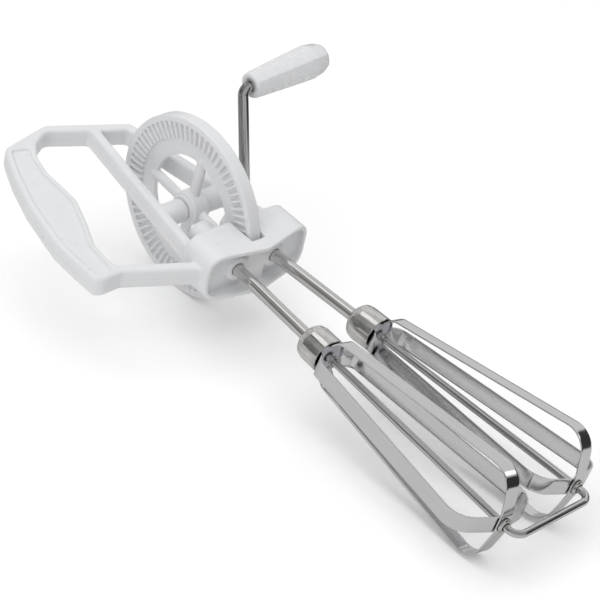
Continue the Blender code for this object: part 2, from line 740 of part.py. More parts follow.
def add_frame(slots, parent):
    frame = add_plate(slots["plastic"], parent)

    shell = along_y("housing_tool", oval(HOUSING_X, HOUSING_Z, HOUSING_ROUND), DECK_TOP, MOUTH_TIP, parent)
    boolean(frame, shell, "UNION")
    inside = oval(HOUSING_X - HOUSING_WALL, HOUSING_Z - HOUSING_WALL, HOUSING_ROUND - HOUSING_WALL)
    boolean(frame, along_y("housing_inside_tool", inside, DECK_TOP + HOUSING_WALL, BULKHEAD, parent),
            "DIFFERENCE")
    boolean(frame, along_y("mouth_inside_tool", inside, BULKHEAD + BULKHEAD_T, MOUTH_TIP + 5, parent),
            "DIFFERENCE")

    slot_half = RIM_W / 2 + 0.65
    pocket_end = WHEEL_R + 0.7
    wall_half = slot_half + POCKET_WALL
    reach_z = HOUSING_Z - HOUSING_WALL + 0.4
    boolean(frame, box("pocket_tool", (-wall_half, -pocket_end - POCKET_WALL, -reach_z),
                       (wall_half, -BULKHEAD - 0.5, reach_z), parent), "UNION")
    for side in (1, -1):
        who = side_name(side)
        bearing = down_shaft(f"{who}_bearing_tool", side, BEARING_R, BULKHEAD + 0.4, BEARING_END, parent)
        boolean(frame, bearing, "UNION")
        boss = lathe(f"{who}_boss_tool", [(BOSS_R, side * (COLLAR_W / 2 + GAP)), (BOSS_R, side * strut_x(0))],
                     None, axle_frame(f"{who}_boss_axis", parent))
        boolean(frame, boss, "UNION")
    boolean(frame, box("slot_tool", (-slot_half, -pocket_end, -HOUSING_Z - 2),
                       (slot_half, 0, HOUSING_Z + 2), parent), "DIFFERENCE")
    for side in (1, -1):
        who = side_name(side)
        room = PINION_TIP_R + 0.5
        boolean(frame, down_shaft(f"{who}_pinion_room_tool", side, room, DECK_TOP - 5, BULKHEAD - 2, parent),
                "DIFFERENCE")
        bore = TUBE_R + RUN
        boolean(frame, down_shaft(f"{who}_shaft_bore_tool", side, bore, BULKHEAD - 5, MOUTH_TIP + 5, parent),
                "DIFFERENCE")
    axle = lathe("axle_bore_tool", [(ROD_BORE, -AXLE_END - GAP), (ROD_BORE, strut_x(0) + STRUT_W)], None,
                 axle_frame("axle_bore_axis", parent))
    boolean(frame, axle, "DIFFERENCE")

    mouth = [(0, -MOUTH_TIP), (HOUSING_X + 4, -MOUTH_SIDE), (HOUSING_X + 4, -MOUTH_TIP - 9),
             (-HOUSING_X - 4, -MOUTH_TIP - 9), (-HOUSING_X - 4, -MOUTH_SIDE)]
    boolean(frame, prism("mouth_tool", mouth, -HOUSING_Z - 2, HOUSING_Z + 2, parent), "DIFFERENCE")

    for side in (1, -1):
        level = side * (FRAME_T / 2 - RECESS_DEPTH)
        low, high = sorted((level, side * (FRAME_T / 2 + 2)))
        name = "upper_recess_tool" if side > 0 else "lower_recess_tool"
        boolean(frame, prism(name, recess_outline(), low, high, parent), "DIFFERENCE")
    return frame


# ------------------------------------------------------------------ the whole tool

def lying_tilt():
    """Angle about X that puts the wheel's rim and the left beater's belly on one level."""
    phase = math.radians(abs(LEFT_PHASE))
    sink = (BELLY_R + BLADE_T / 2) * math.cos(phase) + HALF_BLADE * math.sin(phase)
    return math.asin(WHEEL_R / math.hypot(BELLY, sink)) - math.atan2(sink, BELLY)


def settle(lying):
    """Stand the tool on Z = 0 with its box centred on X and Y."""
    bpy.context.view_layer.update()
    graph = bpy.context.evaluated_depsgraph_get()
    low = Vector((1e9,) * 3)
    high = -low
    for thing in bpy.context.scene.objects:
        if thing.type == "EMPTY" or thing.hide_render:
            continue
        solid = thing.evaluated_get(graph)
        mesh = solid.to_mesh()
        for vert in mesh.vertices:
            spot = thing.matrix_world @ vert.co
            for i in range(3):
                low[i] = min(low[i], spot[i])
                high[i] = max(high[i], spot[i])
        solid.to_mesh_clear()
    lying.location = (-(low.x + high.x) / 2, -(low.y + high.y) / 2, -low.z)


def main():
    for thing in list(bpy.data.objects):
        bpy.data.objects.remove(thing)
    slots = {
        "plastic": material("white_plastic", (0.86, 0.86, 0.87), 0.34),
        "plug": material("pale_plug", (0.66, 0.66, 0.7), 0.4),
        "steel": material("polished_steel", (0.62, 0.61, 0.6), 0.18, 1.0),
        "ferrule": material("bright_ferrule", (0.7, 0.69, 0.68), 0.22, 1.0),
        "blade": material("blade_steel", (0.66, 0.65, 0.63), 0.28, 1.0),
        "wire": material("wire_steel", (0.6, 0.6, 0.6), 0.14, 1.0),
    }
    lying = add_empty("lying", turn=(lying_tilt(), 0, 0))
    add_frame(slots, lying)

    crank = add_empty("crank_axis", lying)
    knob = add_pin("knob_axis", crank)
    add_crank(slots, crank, knob)

    axes = {}
    for side, phase in ((-1, LEFT_PHASE), (1, RIGHT_PHASE)):
        name = f"{side_name(side)}_beater_axis"
        axes[side] = add_empty(name, lying, (side * SHAFT_X, 0, 0), shaft_turn(side))
        add_beater(side, phase, slots, axes[side])
    add_wire(slots, lying, axes)
    settle(lying)


main()
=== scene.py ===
"""Hand-cranked rotary beater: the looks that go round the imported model.

Every piece is made in millimetres in the tool's own axes: +X from the grip side to the crank side, +Y from
the beaters to the handle and +Z out of the frame's upper face, with the origin in the gear wheel's hub. LYING
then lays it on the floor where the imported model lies.
"""
import json
import math

import bmesh
import bpy
from mathutils import Euler, Matrix, Vector


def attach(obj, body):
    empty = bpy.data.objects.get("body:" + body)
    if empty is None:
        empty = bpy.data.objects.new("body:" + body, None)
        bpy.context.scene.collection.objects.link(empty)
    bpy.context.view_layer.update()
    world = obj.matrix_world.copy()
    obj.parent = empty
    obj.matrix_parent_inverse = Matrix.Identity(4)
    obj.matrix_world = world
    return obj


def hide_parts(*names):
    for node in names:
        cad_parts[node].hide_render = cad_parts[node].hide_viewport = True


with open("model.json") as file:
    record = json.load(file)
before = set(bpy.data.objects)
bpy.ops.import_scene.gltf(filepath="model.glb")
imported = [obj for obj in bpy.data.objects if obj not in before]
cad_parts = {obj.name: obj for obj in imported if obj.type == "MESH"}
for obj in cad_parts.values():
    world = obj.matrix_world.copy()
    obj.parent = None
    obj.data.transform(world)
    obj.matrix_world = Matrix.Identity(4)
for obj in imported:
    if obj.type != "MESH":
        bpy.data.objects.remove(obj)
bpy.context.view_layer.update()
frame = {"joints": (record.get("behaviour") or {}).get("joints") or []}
MM = 0.001

# ------------------------------------------------------------------ sizes in millimetres
GAP = 0.3                               # between neighbours that don't rub
RUN = 0.15                              # running clearance on the radius

WHEEL_R = 41.5
RIM_W = 6.1
LIP_W = 3.0
WHEEL_TEETH = 70
PINION_TEETH = 15
FACE_W = 7.4
TOOTH_H = 1.4
TOOTH_RAMP = 0.8
PINION_TIP_R = 8.15
MESH_GAP = 0.25
WEB_IN_R = 23.5
WEB_W = 2.2
SPOKES = 4
SPOKE_R = 2.05
SPOKE_W = 5.0
SPOKE_TURN = 4.0
HUB_R = 7.8
HUB_W = 8.4
COLLAR_R = 6.2
COLLAR_W = 10.4
PINION_HUB_R = 6.1
PINION_TOP = 14.5
PINION_FOOT_R = 4.2

SHAFT_X = 7.62
SPLAY = math.radians(3.507)
SLOPE = math.tan(SPLAY)
TUBE_R = 2.75
TUBE_WALL = 0.7
TUBE_TOP = 18.5
WIRE_R = 1.6
WIRE_TOP = 24.0
BAR_DROP = 7.96
WIRE_BEND = 4.7
FERRULE_TOP = 91.3
FERRULE_MOUTH = 105.9
FERRULE_R = 8.1
FERRULE_WALL = 0.6
BLADE_T = 0.6
BLADE_W = 7.3
BLADE_MOUTH_R = 6.9
SHOULDER_R = 11.0
SHOULDER_DROP = 4.6
BELLY_R = 21.0
BELLY_DROP = 94.4
BELLY_BEND = 10.4
END_TILT = math.radians(75)
CROSS_STEP = 1.0
TIP_FLAT = 4.3
EYELET_R = 2.45
EYELET_WALL = 0.5
EYELET_FLANGE = 0.9
PHASES = {"left": math.radians(-11.6), "right": math.radians(-17.2)}
CLIP_DROP = 2.6
CLIP_T = 0.8
CLIP_REACH = 4.6
CLIP_TURN = math.radians(-40)

CRANK_R = 45.6
CRANK_TURN = math.radians(16.3)
PIN_LEAN = math.radians(3.3)
ROD_R = 2.35
ROD_BEND = 3.4
ARM_X = 30.85
AXLE_END = 17.4
KNOB_L = 42.6
KNOB_MOUTH_R = 5.9
KNOB_BELLY_R = 7.8
KNOB_END_R = 6.4
KNOB_FLATS = 8
KNOB_WALL = 7.0
SLEEVE_WALL = 0.45
SLEEVE_LIP = 0.4
POCKET_R = 4.3
RETAINER_ROOM = 3.0

FRAME_T = 9.4
FRAME_EDGE = 1.6
STRUT_W = 5.0
STRUT_TOP_X = 7.26
STRUT_TOP_Y = 59.4
STRUT_SPREAD = 0.175
BOSS_R = 5.2
RECESS_RIM = 2.7
RECESS_DEPTH = 1.1
HOUSING_X = 28.1
HOUSING_Z = 11.8
HOUSING_WALL = 2.0
HOUSING_ROUND = 9.2
DECK_TOP = 27.0
MOUTH_SIDE = 42.5
MOUTH_TIP = 49.5
BULKHEAD = 39.5
BULKHEAD_T = 1.4
BEARING_R = 5.5
BEARING_END = 43.7
POCKET_WALL = 1.5
GRIP_OUTER = [(-72.3, -10.0), (-71.9, 2.0), (-69.6, 13.2), (-65.9, 29.8), (-59.5, 48.4), (-53.2, 62.5)]
GRIP_INNER = [(-36.6, 62.6), (-41.8, 55.0), (-44.6, 44.0), (-44.9, 33.0), (-45.4, 22.5), (-51.2, 8.0),
              (-57.4, -5.2), (-58.6, -15.5)]
UPPER_OUT = [(-50.8, 66.6), (-25.1, 72.5), (10.6, 56.2)]
LOWER_OUT = [(-72.2, -24.2), (-68.4, -25.9), (-59.1, -25.6)]
ARM_SLOPE = -0.457
ARM_W = 5.4

# ------------------------------------------------------------------ fineness of the made surfaces
FRAME_VOXEL, WHEEL_VOXEL, PINION_VOXEL = 0.42, 0.28, 0.22
FRAME_SMOOTHING, GEAR_SMOOTHING = 6, 3
BIG_PIECE_FACES, PINION_FACES = 190000, 60000
RING_STEPS = 64                         # round a thin turned part
SOFT_CORNER_STEPS = 4                   # in each rounded corner of a turned profile

# ------------------------------------------------------------------ the tool's axes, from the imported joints
JOINTS = {joint["name"]: joint for joint in frame["joints"]}
ACROSS = Vector(JOINTS["crank_turn"]["axis"]).normalized()
HANDLEWARD = -sum((Vector(JOINTS[f"{who}_beater_spin"]["axis"]) for who in PHASES), Vector()).normalized()
LYING = Matrix.Translation(JOINTS["crank_turn"]["pos_m"]) @ Matrix(
    (ACROSS, HANDLEWARD, ACROSS.cross(HANDLEWARD))).transposed().to_4x4()
ALONG_X = Euler((math.pi / 2, 0, math.pi / 2)).to_matrix().to_4x4()      # a piece's own Z runs along X
DOWN = Euler((math.pi / 2, 0, 0)).to_matrix().to_4x4()                   # a piece's own Z runs down the tool
SIDES = {"left": -1, "right": 1}


def down_shaft(who):
    """A piece's own Z runs down a beater's shaft, from the wheel's axis."""
    side = SIDES[who]
    turn = Euler((math.pi / 2, 0, side * SPLAY)).to_matrix().to_4x4()
    return Matrix.Translation((side * SHAFT_X, 0, 0)) @ turn


def shaft_x(down):
    return SHAFT_X + SLOPE * down


def strut_x(y):
    return STRUT_TOP_X + STRUT_SPREAD * (STRUT_TOP_Y - y)


# ------------------------------------------------------------------ ways of making a piece

def rounded(corners, steps=8):
    """An outline from (x, y, radius) corners, with an arc of that radius at each corner."""
    points = []
    count = len(corners)
    for i, (x, y, radius) in enumerate(corners):
        here = Vector((x, y))
        back = Vector(corners[i - 1][:2]) - here
        ahead = Vector(corners[(i + 1) % count][:2]) - here
        reach = min(radius / math.tan(back.angle(ahead) / 2), 0.49 * back.length, 0.49 * ahead.length)
        if reach < 0.01:
            points.append((x, y))
            continue
        start = here + back.normalized() * reach
        end = here + ahead.normalized() * reach
        for k in range(steps + 1):
            t = k / steps
            points.append(tuple(start * (1 - t) ** 2 + here * 2 * t * (1 - t) + end * t ** 2))
    return points


def inset(outline, distance):
    """The outline moved inward by a distance. It runs anticlockwise."""
    moved = []
    count = len(outline)
    for i in range(count):
        a, b, c = (Vector(outline[(i + k) % count]) for k in (-1, 0, 1))
        before = (b - a).normalized()
        after = (c - b).normalized()
        normal = Vector((-before.y - after.y, before.x + after.x)).normalized()
        stretch = max(normal.dot(Vector((-after.y, after.x))), 0.5)
        moved.append(tuple(b + normal * distance / stretch))
    return moved


def raised(outline, low, high):
    """A flat outline extruded along Z from low to high."""
    bm = bmesh.new()
    face = bm.faces.new([bm.verts.new((x, y, low)) for x, y in outline])
    top = bmesh.ops.extrude_face_region(bm, geom=[face], use_keep_orig=True)["geom"]
    bmesh.ops.translate(bm, vec=(0, 0, high - low),
                        verts=[v for v in top if isinstance(v, bmesh.types.BMVert)])
    bmesh.ops.recalc_face_normals(bm, faces=bm.faces)
    return bm


def turned(profile, steps=96, closed=True, bm=None):
    """A body spun about Z from a profile of (radius, height) points."""
    bm = bm or bmesh.new()
    verts = [bm.verts.new((radius, 0, height)) for radius, height in profile]
    follow = verts[1:] + verts[:1] if closed else verts[1:]
    edges = [bm.edges.new(pair) for pair in zip(verts, follow)]
    bmesh.ops.spin(bm, geom=verts + edges, cent=(0, 0, 0), axis=(0, 0, 1), dvec=(0, 0, 0),
                   angle=2 * math.pi, steps=steps, use_merge=True)
    bmesh.ops.remove_doubles(bm, verts=bm.verts, dist=0.001)
    bmesh.ops.recalc_face_normals(bm, faces=bm.faces)
    return bm


def turned_soft(profile, radius, steps=96):
    """A turned hollow body: each corner of its profile is rounded and held by a close ring on either side."""
    held = []
    points = rounded([(r, z, radius) for r, z in profile], SOFT_CORNER_STEPS)
    for i, spot in enumerate(points):
        here, ahead = Vector(spot), Vector(points[(i + 1) % len(points)])
        held.append(spot)
        if (ahead - here).length > 4 * radius:
            step = (ahead - here).normalized() * radius * 0.5
            held += [tuple(here + step), tuple(ahead - step)]
    return turned(held, steps)


def bar(radius, low, high, columns=64):
    """A plain round bar about Z."""
    bm = bmesh.new()
    bmesh.ops.create_cone(bm, cap_ends=True, segments=columns, radius1=radius, radius2=radius,
                          depth=high - low, matrix=Matrix.Translation((0, 0, (low + high) / 2)))
    return bm


def bend_path(corners, radius, steps=14):
    """Straight runs between corners with an arc of the radius at each inner corner."""
    points = [Vector(corners[0])]
    for i in range(1, len(corners) - 1):
        here = Vector(corners[i])
        back = (Vector(corners[i - 1]) - here).normalized()
        ahead = (Vector(corners[i + 1]) - here).normalized()
        half = back.angle(ahead) / 2
        reach = radius / math.tan(half)
        centre = here + (back + ahead).normalized() * radius / math.sin(half)
        first = here + back * reach - centre
        axis = first.cross(here + ahead * reach - centre)
        for k in range(steps + 1):
            points.append(centre + Matrix.Rotation((math.pi - 2 * half) * k / steps, 3, axis) @ first)
    points.append(Vector(corners[-1]))
    return points


def disc_facing(verts, columns):
    """The way a disc of points faces."""
    middle = sum((v.co for v in verts), Vector()) / columns
    return (verts[0].co - middle).cross(verts[columns // 4].co - middle).normalized()


def drawn_rod(points, radius, columns=40):
    """Round rod along a path: a disc is extruded from point to point and turned into each bend."""
    bm = bmesh.new()
    run = (points[1] - points[0]).normalized()
    seat = run.to_track_quat("Z", "Y").to_matrix().to_4x4()
    seat.translation = points[0]
    bmesh.ops.create_circle(bm, cap_ends=True, segments=columns, radius=radius, matrix=seat)
    unbent = bm.verts.layers.float_vector.new("shape")
    for vert in bm.verts:
        vert[unbent] = seat.inverted() @ vert.co
    end = list(bm.faces)
    length = 0.0
    for i in range(1, len(points)):
        length += (points[i] - points[i - 1]).length
        grown = bmesh.ops.extrude_face_region(bm, geom=end, use_keep_orig=(i == 1))["geom"]
        end = [g for g in grown if isinstance(g, bmesh.types.BMFace)]
        verts = [g for g in grown if isinstance(g, bmesh.types.BMVert)]
        ahead = (points[i + 1] - points[i]).normalized() if i < len(points) - 1 else run
        middle = (run + ahead).normalized()
        now = sum((v.co for v in verts), Vector()) / columns
        facing = disc_facing(verts, columns)
        if facing.dot(run) < 0:
            facing.negate()
        bmesh.ops.rotate(bm, cent=now, verts=verts, matrix=facing.rotation_difference(middle).to_matrix())
        bmesh.ops.translate(bm, vec=points[i] - now, verts=verts)
        for vert in verts:
            vert[unbent] = (*vert[unbent].xy, length)
        run = ahead
    bmesh.ops.recalc_face_normals(bm, faces=bm.faces)
    return bm


def mesh_from(bm, name="work"):
    mesh = bpy.data.meshes.new(name)
    bm.to_mesh(mesh)
    bm.free()
    return mesh


def worked(mesh, *steps):
    """The mesh after a row of modifiers, each a (kind, settings) pair."""
    thing = bpy.data.objects.new("work", mesh)
    bpy.context.scene.collection.objects.link(thing)
    for kind, settings in steps:
        modifier = thing.modifiers.new(kind.lower(), kind)
        for key, value in settings.items():
            setattr(modifier, key, value)
    made = bpy.data.meshes.new_from_object(thing.evaluated_get(bpy.context.evaluated_depsgraph_get()))
    bpy.data.objects.remove(thing)
    return made


def carved(mesh, cuts):
    """The mesh with bodies joined on or cut away, each a (bmesh, stand, operation)."""
    tools = []
    steps = []
    for bm, stand, operation in cuts:
        bmesh.ops.transform(bm, matrix=stand, verts=bm.verts)
        tool = bpy.data.objects.new("tool", mesh_from(bm))
        bpy.context.scene.collection.objects.link(tool)
        tools.append(tool)
        steps.append(("BOOLEAN", {"object": tool, "operation": operation, "solver": "EXACT"}))
    made = worked(mesh, *steps)
    for tool in tools:
        bpy.data.objects.remove(tool)
    return made


def moulded(mesh, voxel, passes, most):
    """One skin over a piece's bodies, with the small fillets of a moulding, thinned to a face count."""
    skin = worked(mesh, ("REMESH", {"mode": "VOXEL", "voxel_size": voxel, "adaptivity": 0.0}),
                  ("SMOOTH", {"factor": 0.5, "iterations": passes}))
    faces = sum(len(polygon.vertices) - 2 for polygon in skin.polygons)
    if faces > most:
        skin = worked(skin, ("DECIMATE", {"ratio": most / faces}))
    return skin


def add_piece(name, mesh, stand, finishes, body, nodes, sharp=None):
    """Give a mesh its finish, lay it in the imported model's place and let it ride on its body.

    The attribute shape keeps where each point was in the piece's own axes, for grain that follows the piece.
    A strip or a rod already has it, from before it was bent.
    """
    if isinstance(mesh, bmesh.types.BMesh):
        mesh = mesh_from(mesh)
    mesh.name = name
    if "shape" not in mesh.attributes:
        kept = mesh.attributes.new("shape", "FLOAT_VECTOR", "POINT")
        places = [0.0] * (3 * len(mesh.vertices))
        mesh.vertices.foreach_get("co", places)
        kept.data.foreach_set("vector", places)
    mesh.transform(LYING @ Matrix.Scale(MM, 4) @ stand)
    mesh.materials.clear()
    for finish in finishes:
        mesh.materials.append(finish)
    mesh.shade_smooth()
    if sharp:
        mesh.set_sharp_from_angle(angle=math.radians(sharp))
    piece = bpy.data.objects.new(name, mesh)
    bpy.context.scene.collection.objects.link(piece)
    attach(piece, body)
    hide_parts(*nodes)
    return piece


# ------------------------------------------------------------------ finishes

class Wiring:
    """A short way to add and join nodes."""

    def __init__(self, tree):
        self.tree = tree

    def add(self, kind, settings=None, **inputs):
        node = self.tree.nodes.new(kind)
        for key, value in (settings or {}).items():
            setattr(node, key, value)
        for key, value in inputs.items():
            numbered = key[0] == "i" and key[1:].isdigit()
            socket = node.inputs[int(key[1:]) if numbered else key.replace("_", " ")]
            if isinstance(value, bpy.types.NodeSocket):
                self.tree.links.new(value, socket)
            else:
                socket.default_value = value
        return node

    def math(self, operation, a, b=0.0):
        return self.add("ShaderNodeMath", {"operation": operation}, i0=a, i1=b).outputs[0]

    def span(self, value, low, high, out_low=0.0, out_high=1.0):
        """A smooth step between two values."""
        return self.add("ShaderNodeMapRange", {"interpolation_type": "SMOOTHSTEP"}, i0=value, i1=low, i2=high,
                        i3=out_low, i4=out_high).outputs[0]

    def mix(self, share, a, b):
        """Blend of two colours."""
        return self.add("ShaderNodeMix", {"data_type": "RGBA"}, i0=share, i6=a, i7=b).outputs[2]

    def mix_values(self, share, a, b):
        return self.add("ShaderNodeMix", {"data_type": "FLOAT"}, i0=share, i2=a, i3=b).outputs[0]

    def noise(self, vector, scale, detail=3.0, rough=0.55):
        return self.add("ShaderNodeTexNoise", Vector=vector, Scale=scale, Detail=detail,
                        Roughness=rough).outputs[0]

    def stretch(self, vector, scale):
        return self.add("ShaderNodeVectorMath", {"operation": "MULTIPLY"}, i0=vector, i1=scale).outputs[0]


def group(name, inputs, outputs):
    """An empty node group with named sockets, and its wiring, its inputs and a way to give its outputs."""
    tree = bpy.data.node_groups.new(name, "ShaderNodeTree")
    for label, kind, default in inputs:
        socket = tree.interface.new_socket(name=label, in_out="INPUT", socket_type=kind)
        socket.default_value = default
    for label, kind in outputs:
        tree.interface.new_socket(name=label, in_out="OUTPUT", socket_type=kind)
    wiring = Wiring(tree)
    return tree, wiring, wiring.add("NodeGroupInput").outputs, wiring.add("NodeGroupOutput").inputs


FLOAT, COLOUR, VECTOR = "NodeSocketFloat", "NodeSocketColor", "NodeSocketVector"


def make_moulding_group():
    """Faint clouding, fine mould grain and rubbed patches of gloss on injection-moulded plastic."""
    tree, w, given, out = group(
        "moulding", [("Shape", VECTOR, (0, 0, 0)), ("Colour", COLOUR, (0.8, 0.8, 0.8, 1)),
                     ("Shadow Colour", COLOUR, (0.7, 0.7, 0.7, 1)), ("Clouding", FLOAT, 0.5),
                     ("Gloss", FLOAT, 0.3), ("Grain", FLOAT, 0.1)],
        [("Colour", COLOUR), ("Roughness", FLOAT), ("Height", FLOAT)])
    broad = w.noise(given["Shape"], 0.06, 3.0)
    patch = w.noise(given["Shape"], 0.35, 4.0)
    grain = w.noise(given["Shape"], 1.1, 2.0)
    cloud = w.math("MULTIPLY", w.span(broad, 0.35, 0.7), given["Clouding"])
    w.tree.links.new(w.mix(cloud, given["Colour"], given["Shadow Colour"]), out["Colour"])
    rubbed = w.math("MULTIPLY", w.math("SUBTRACT", patch, 0.5), 0.16)
    w.tree.links.new(w.math("ADD", given["Gloss"], rubbed), out["Roughness"])
    w.tree.links.new(w.math("MULTIPLY", grain, given["Grain"]), out["Height"])
    return tree


def make_drawn_group():
    """Long fine lines left by drawing or rolling metal, with broader dull streaks among them."""
    tree, w, given, out = group(
        "drawn metal", [("Shape", VECTOR, (0, 0, 0)), ("Line Stretch", VECTOR, (6, 6, 0.15)),
                        ("Bright", COLOUR, (0.8, 0.8, 0.8, 1)), ("Dull", COLOUR, (0.4, 0.4, 0.4, 1)),
                        ("Dulling", FLOAT, 0.5), ("Gloss", FLOAT, 0.2), ("Roughening", FLOAT, 0.2),
                        ("Depth", FLOAT, 0.3), ("Fine Share", FLOAT, 0.35)],
        [("Colour", COLOUR), ("Roughness", FLOAT), ("Height", FLOAT)])
    fine_at = w.stretch(given["Shape"], given["Line Stretch"])
    fine = w.noise(fine_at, 1.0, 4.0, 0.65)
    broad = w.noise(fine_at, 0.22, 2.0)
    streak = w.span(broad, 0.46, 0.57)
    lines = w.span(fine, 0.35, 0.68)
    both = w.math("MULTIPLY", w.mix_values(given["Fine Share"], streak, lines), given["Dulling"])
    w.tree.links.new(w.mix(both, given["Bright"], given["Dull"]), out["Colour"])
    w.tree.links.new(w.math("ADD", given["Gloss"], w.math("MULTIPLY", lines, given["Roughening"])),
                     out["Roughness"])
    w.tree.links.new(w.math("MULTIPLY", fine, given["Depth"]), out["Height"])
    return tree


def finish(name, colour, roughness, metallic=0.0):
    """A material with its shader's wiring ready."""
    made = bpy.data.materials.new(name)
    made.use_nodes = True
    shader = made.node_tree.nodes["Principled BSDF"]
    shader.inputs["Base Color"].default_value = (*colour, 1)
    shader.inputs["Roughness"].default_value = roughness
    shader.inputs["Metallic"].default_value = metallic
    made.diffuse_color = (*colour, 1)
    wiring = Wiring(made.node_tree)
    shape = wiring.add("ShaderNodeAttribute", {"attribute_name": "shape"}).outputs["Vector"]
    return made, wiring, shader, shape


def join(wiring, shader, effect, distance):
    """Feed a group's colour, roughness and height to the shader."""
    wiring.tree.links.new(effect.outputs["Colour"], shader.inputs["Base Color"])
    wiring.tree.links.new(effect.outputs["Roughness"], shader.inputs["Roughness"])
    bump = wiring.add("ShaderNodeBump", Strength=1.0, Distance=distance, Height=effect.outputs["Height"])
    wiring.tree.links.new(bump.outputs[0], shader.inputs["Normal"])
    return bump


MOULDING = make_moulding_group()
DRAWN = make_drawn_group()
MOULD_GRAIN_HEIGHT, DRAWN_LINE_HEIGHT = 0.00006, 0.00003          # bump distances in metres
SEAM_HALF, SEAM_FADE, SEAM_SHADE, SEAM_SHARE = 0.1, 0.28, 0.82, 0.35


def plastic(name, colour, shadow, clouding=0.5, gloss=0.3, grain=0.1, parting=False):
    made, w, shader, shape = finish(name, colour, gloss)
    shader.inputs["Specular IOR Level"].default_value = 0.5
    effect = w.add("ShaderNodeGroup", {"node_tree": MOULDING}, Shape=shape, Colour=(*colour, 1),
                   Shadow_Colour=(*shadow, 1), Clouding=clouding, Gloss=gloss, Grain=grain)
    join(w, shader, effect, MOULD_GRAIN_HEIGHT)
    if parting:
        split = w.add("ShaderNodeSeparateXYZ", Vector=shape).outputs
        seam = w.span(w.math("ABSOLUTE", split[2]), SEAM_HALF, SEAM_FADE, 1.0, 0.0)
        line = w.mix(w.math("MULTIPLY", seam, SEAM_SHARE), effect.outputs["Colour"],
                     (*[c * SEAM_SHADE for c in colour], 1))
        w.tree.links.new(line, shader.inputs["Base Color"])
    return made


def steel(name, bright, dull, stretch, dulling=0.5, gloss=0.18, roughening=0.15, depth=0.3, fine=0.35):
    made, w, shader, shape = finish(name, bright, gloss, 1.0)
    effect = w.add("ShaderNodeGroup", {"node_tree": DRAWN}, Shape=shape, Line_Stretch=stretch,
                   Bright=(*bright, 1), Dull=(*dull, 1), Dulling=dulling, Gloss=gloss, Roughening=roughening,
                   Depth=depth, Fine_Share=fine)
    join(w, shader, effect, DRAWN_LINE_HEIGHT)
    return made


WHITE, WHITE_SHADOW = (0.775, 0.78, 0.79), (0.745, 0.75, 0.765)
FINISHES = {
    "frame": plastic("white_moulded_frame", WHITE, WHITE_SHADOW, 0.6, 0.30, 0.05, parting=True),
    "wheel": plastic("white_moulded_gear", WHITE, WHITE_SHADOW, 0.5, 0.33, 0.05),
    "knob": plastic("white_moulded_knob", WHITE, WHITE_SHADOW, 0.5, 0.27, 0.02),
    "plug": plastic("pale_lavender_filler", (0.80, 0.80, 0.86), (0.72, 0.72, 0.77), 0.6, 0.4, 0.1),
    "tube": steel("polished_tube", (0.78, 0.77, 0.76), (0.50, 0.49, 0.48), (5, 5, 0.08), 0.5, 0.06, 0.08),
    "rod": steel("drawn_crank_rod", (0.62, 0.62, 0.62), (0.16, 0.16, 0.16), (2.4, 2.4, 0.03), 0.8, 0.06,
                 0.16),
    "wire": steel("bright_drawn_wire", (0.74, 0.74, 0.74), (0.22, 0.22, 0.22), (3.5, 3.5, 0.05), 0.7, 0.07,
                  0.1),
    "cup": steel("bright_pressed_cup", (0.80, 0.79, 0.78), (0.42, 0.41, 0.40), (1.6, 1.6, 0.35), 0.6, 0.05,
                 0.12),
    "strip_out": steel("rolled_strip_face", (0.76, 0.76, 0.77), (0.66, 0.66, 0.67), (0.12, 5, 1), 0.4, 0.05,
                       0.08),
    # Inner faces of the strips: the cross-brushed lines are real, but the darker warm colour is painted
    # shade, because these faces turn inward into the cage
    "strip_in_painted_shade": steel("cross_brushed_strip_painted_shade", (0.72, 0.695, 0.65), (0.24, 0.22, 0.19), (0.95, 0.10, 1), 0.8,
                      0.20, 0.22, 0.25, 0.75),
    "small": steel("small_steel_parts", (0.70, 0.69, 0.68), (0.36, 0.35, 0.34), (2, 2, 2), 0.5, 0.10, 0.14),
}


# ------------------------------------------------------------------ frame

LOWER_ARM_X, LOWER_ARM_Y = LOWER_OUT[-1]
ARM_THICK = ARM_W / math.cos(math.atan(ARM_SLOPE))


def lower_edge(x):
    return LOWER_ARM_Y + ARM_SLOPE * (x - LOWER_ARM_X)


def upper_edge(x):
    (x0, y0), (x1, y1) = UPPER_OUT[1:]
    return y0 + (y1 - y0) * (x - x0) / (x1 - x0)


def frame_outline():
    """Anticlockwise: up the crank side, along the upper arm, down the grip, along the lower arm."""
    foot_y = -DECK_TOP - 3
    inner_x = -HOUSING_X + 4
    corners = [(strut_x(foot_y) + STRUT_W / 2, foot_y, 0), (*UPPER_OUT[2], 3), (*UPPER_OUT[1], 5),
               (*UPPER_OUT[0], 5)]
    corners += [(x, y, 8) for x, y in GRIP_OUTER[::-1]]
    corners += [(x, y, 3) for x, y in LOWER_OUT]
    corners += [(inner_x, lower_edge(inner_x), 0), (inner_x + 6, foot_y - 6, 0)]
    return rounded(corners)


def finger_opening():
    """Anticlockwise round the space behind the grip."""
    strut_high = upper_edge(-strut_x(56)) - ARM_W
    low_x = -strut_x(-DECK_TOP + 2) - STRUT_W / 2
    high_x = -strut_x(strut_high) - STRUT_W / 2
    corners = [(LOWER_ARM_X + 1, lower_edge(LOWER_ARM_X + 1) + ARM_THICK, 2.5),
               (low_x - 1.5, lower_edge(low_x - 1.5) + ARM_THICK, 3),
               (high_x, upper_edge(high_x) - ARM_THICK, 2), (-27.5, 68.0, 5)]
    corners += [(x, y, 8) for x, y in GRIP_INNER]
    return rounded(corners)


def wheel_opening():
    """Anticlockwise round the space between the struts."""
    low = -DECK_TOP - 1
    x_low = strut_x(low) - STRUT_W / 2
    right_y = upper_edge(5) - ARM_THICK
    left_y = upper_edge(-5) - ARM_THICK
    return rounded([(-x_low, low, 0), (x_low, low, 0), (strut_x(right_y) - STRUT_W / 2, right_y, 1.2),
                    (-strut_x(left_y) + STRUT_W / 2, left_y, 1.2)])


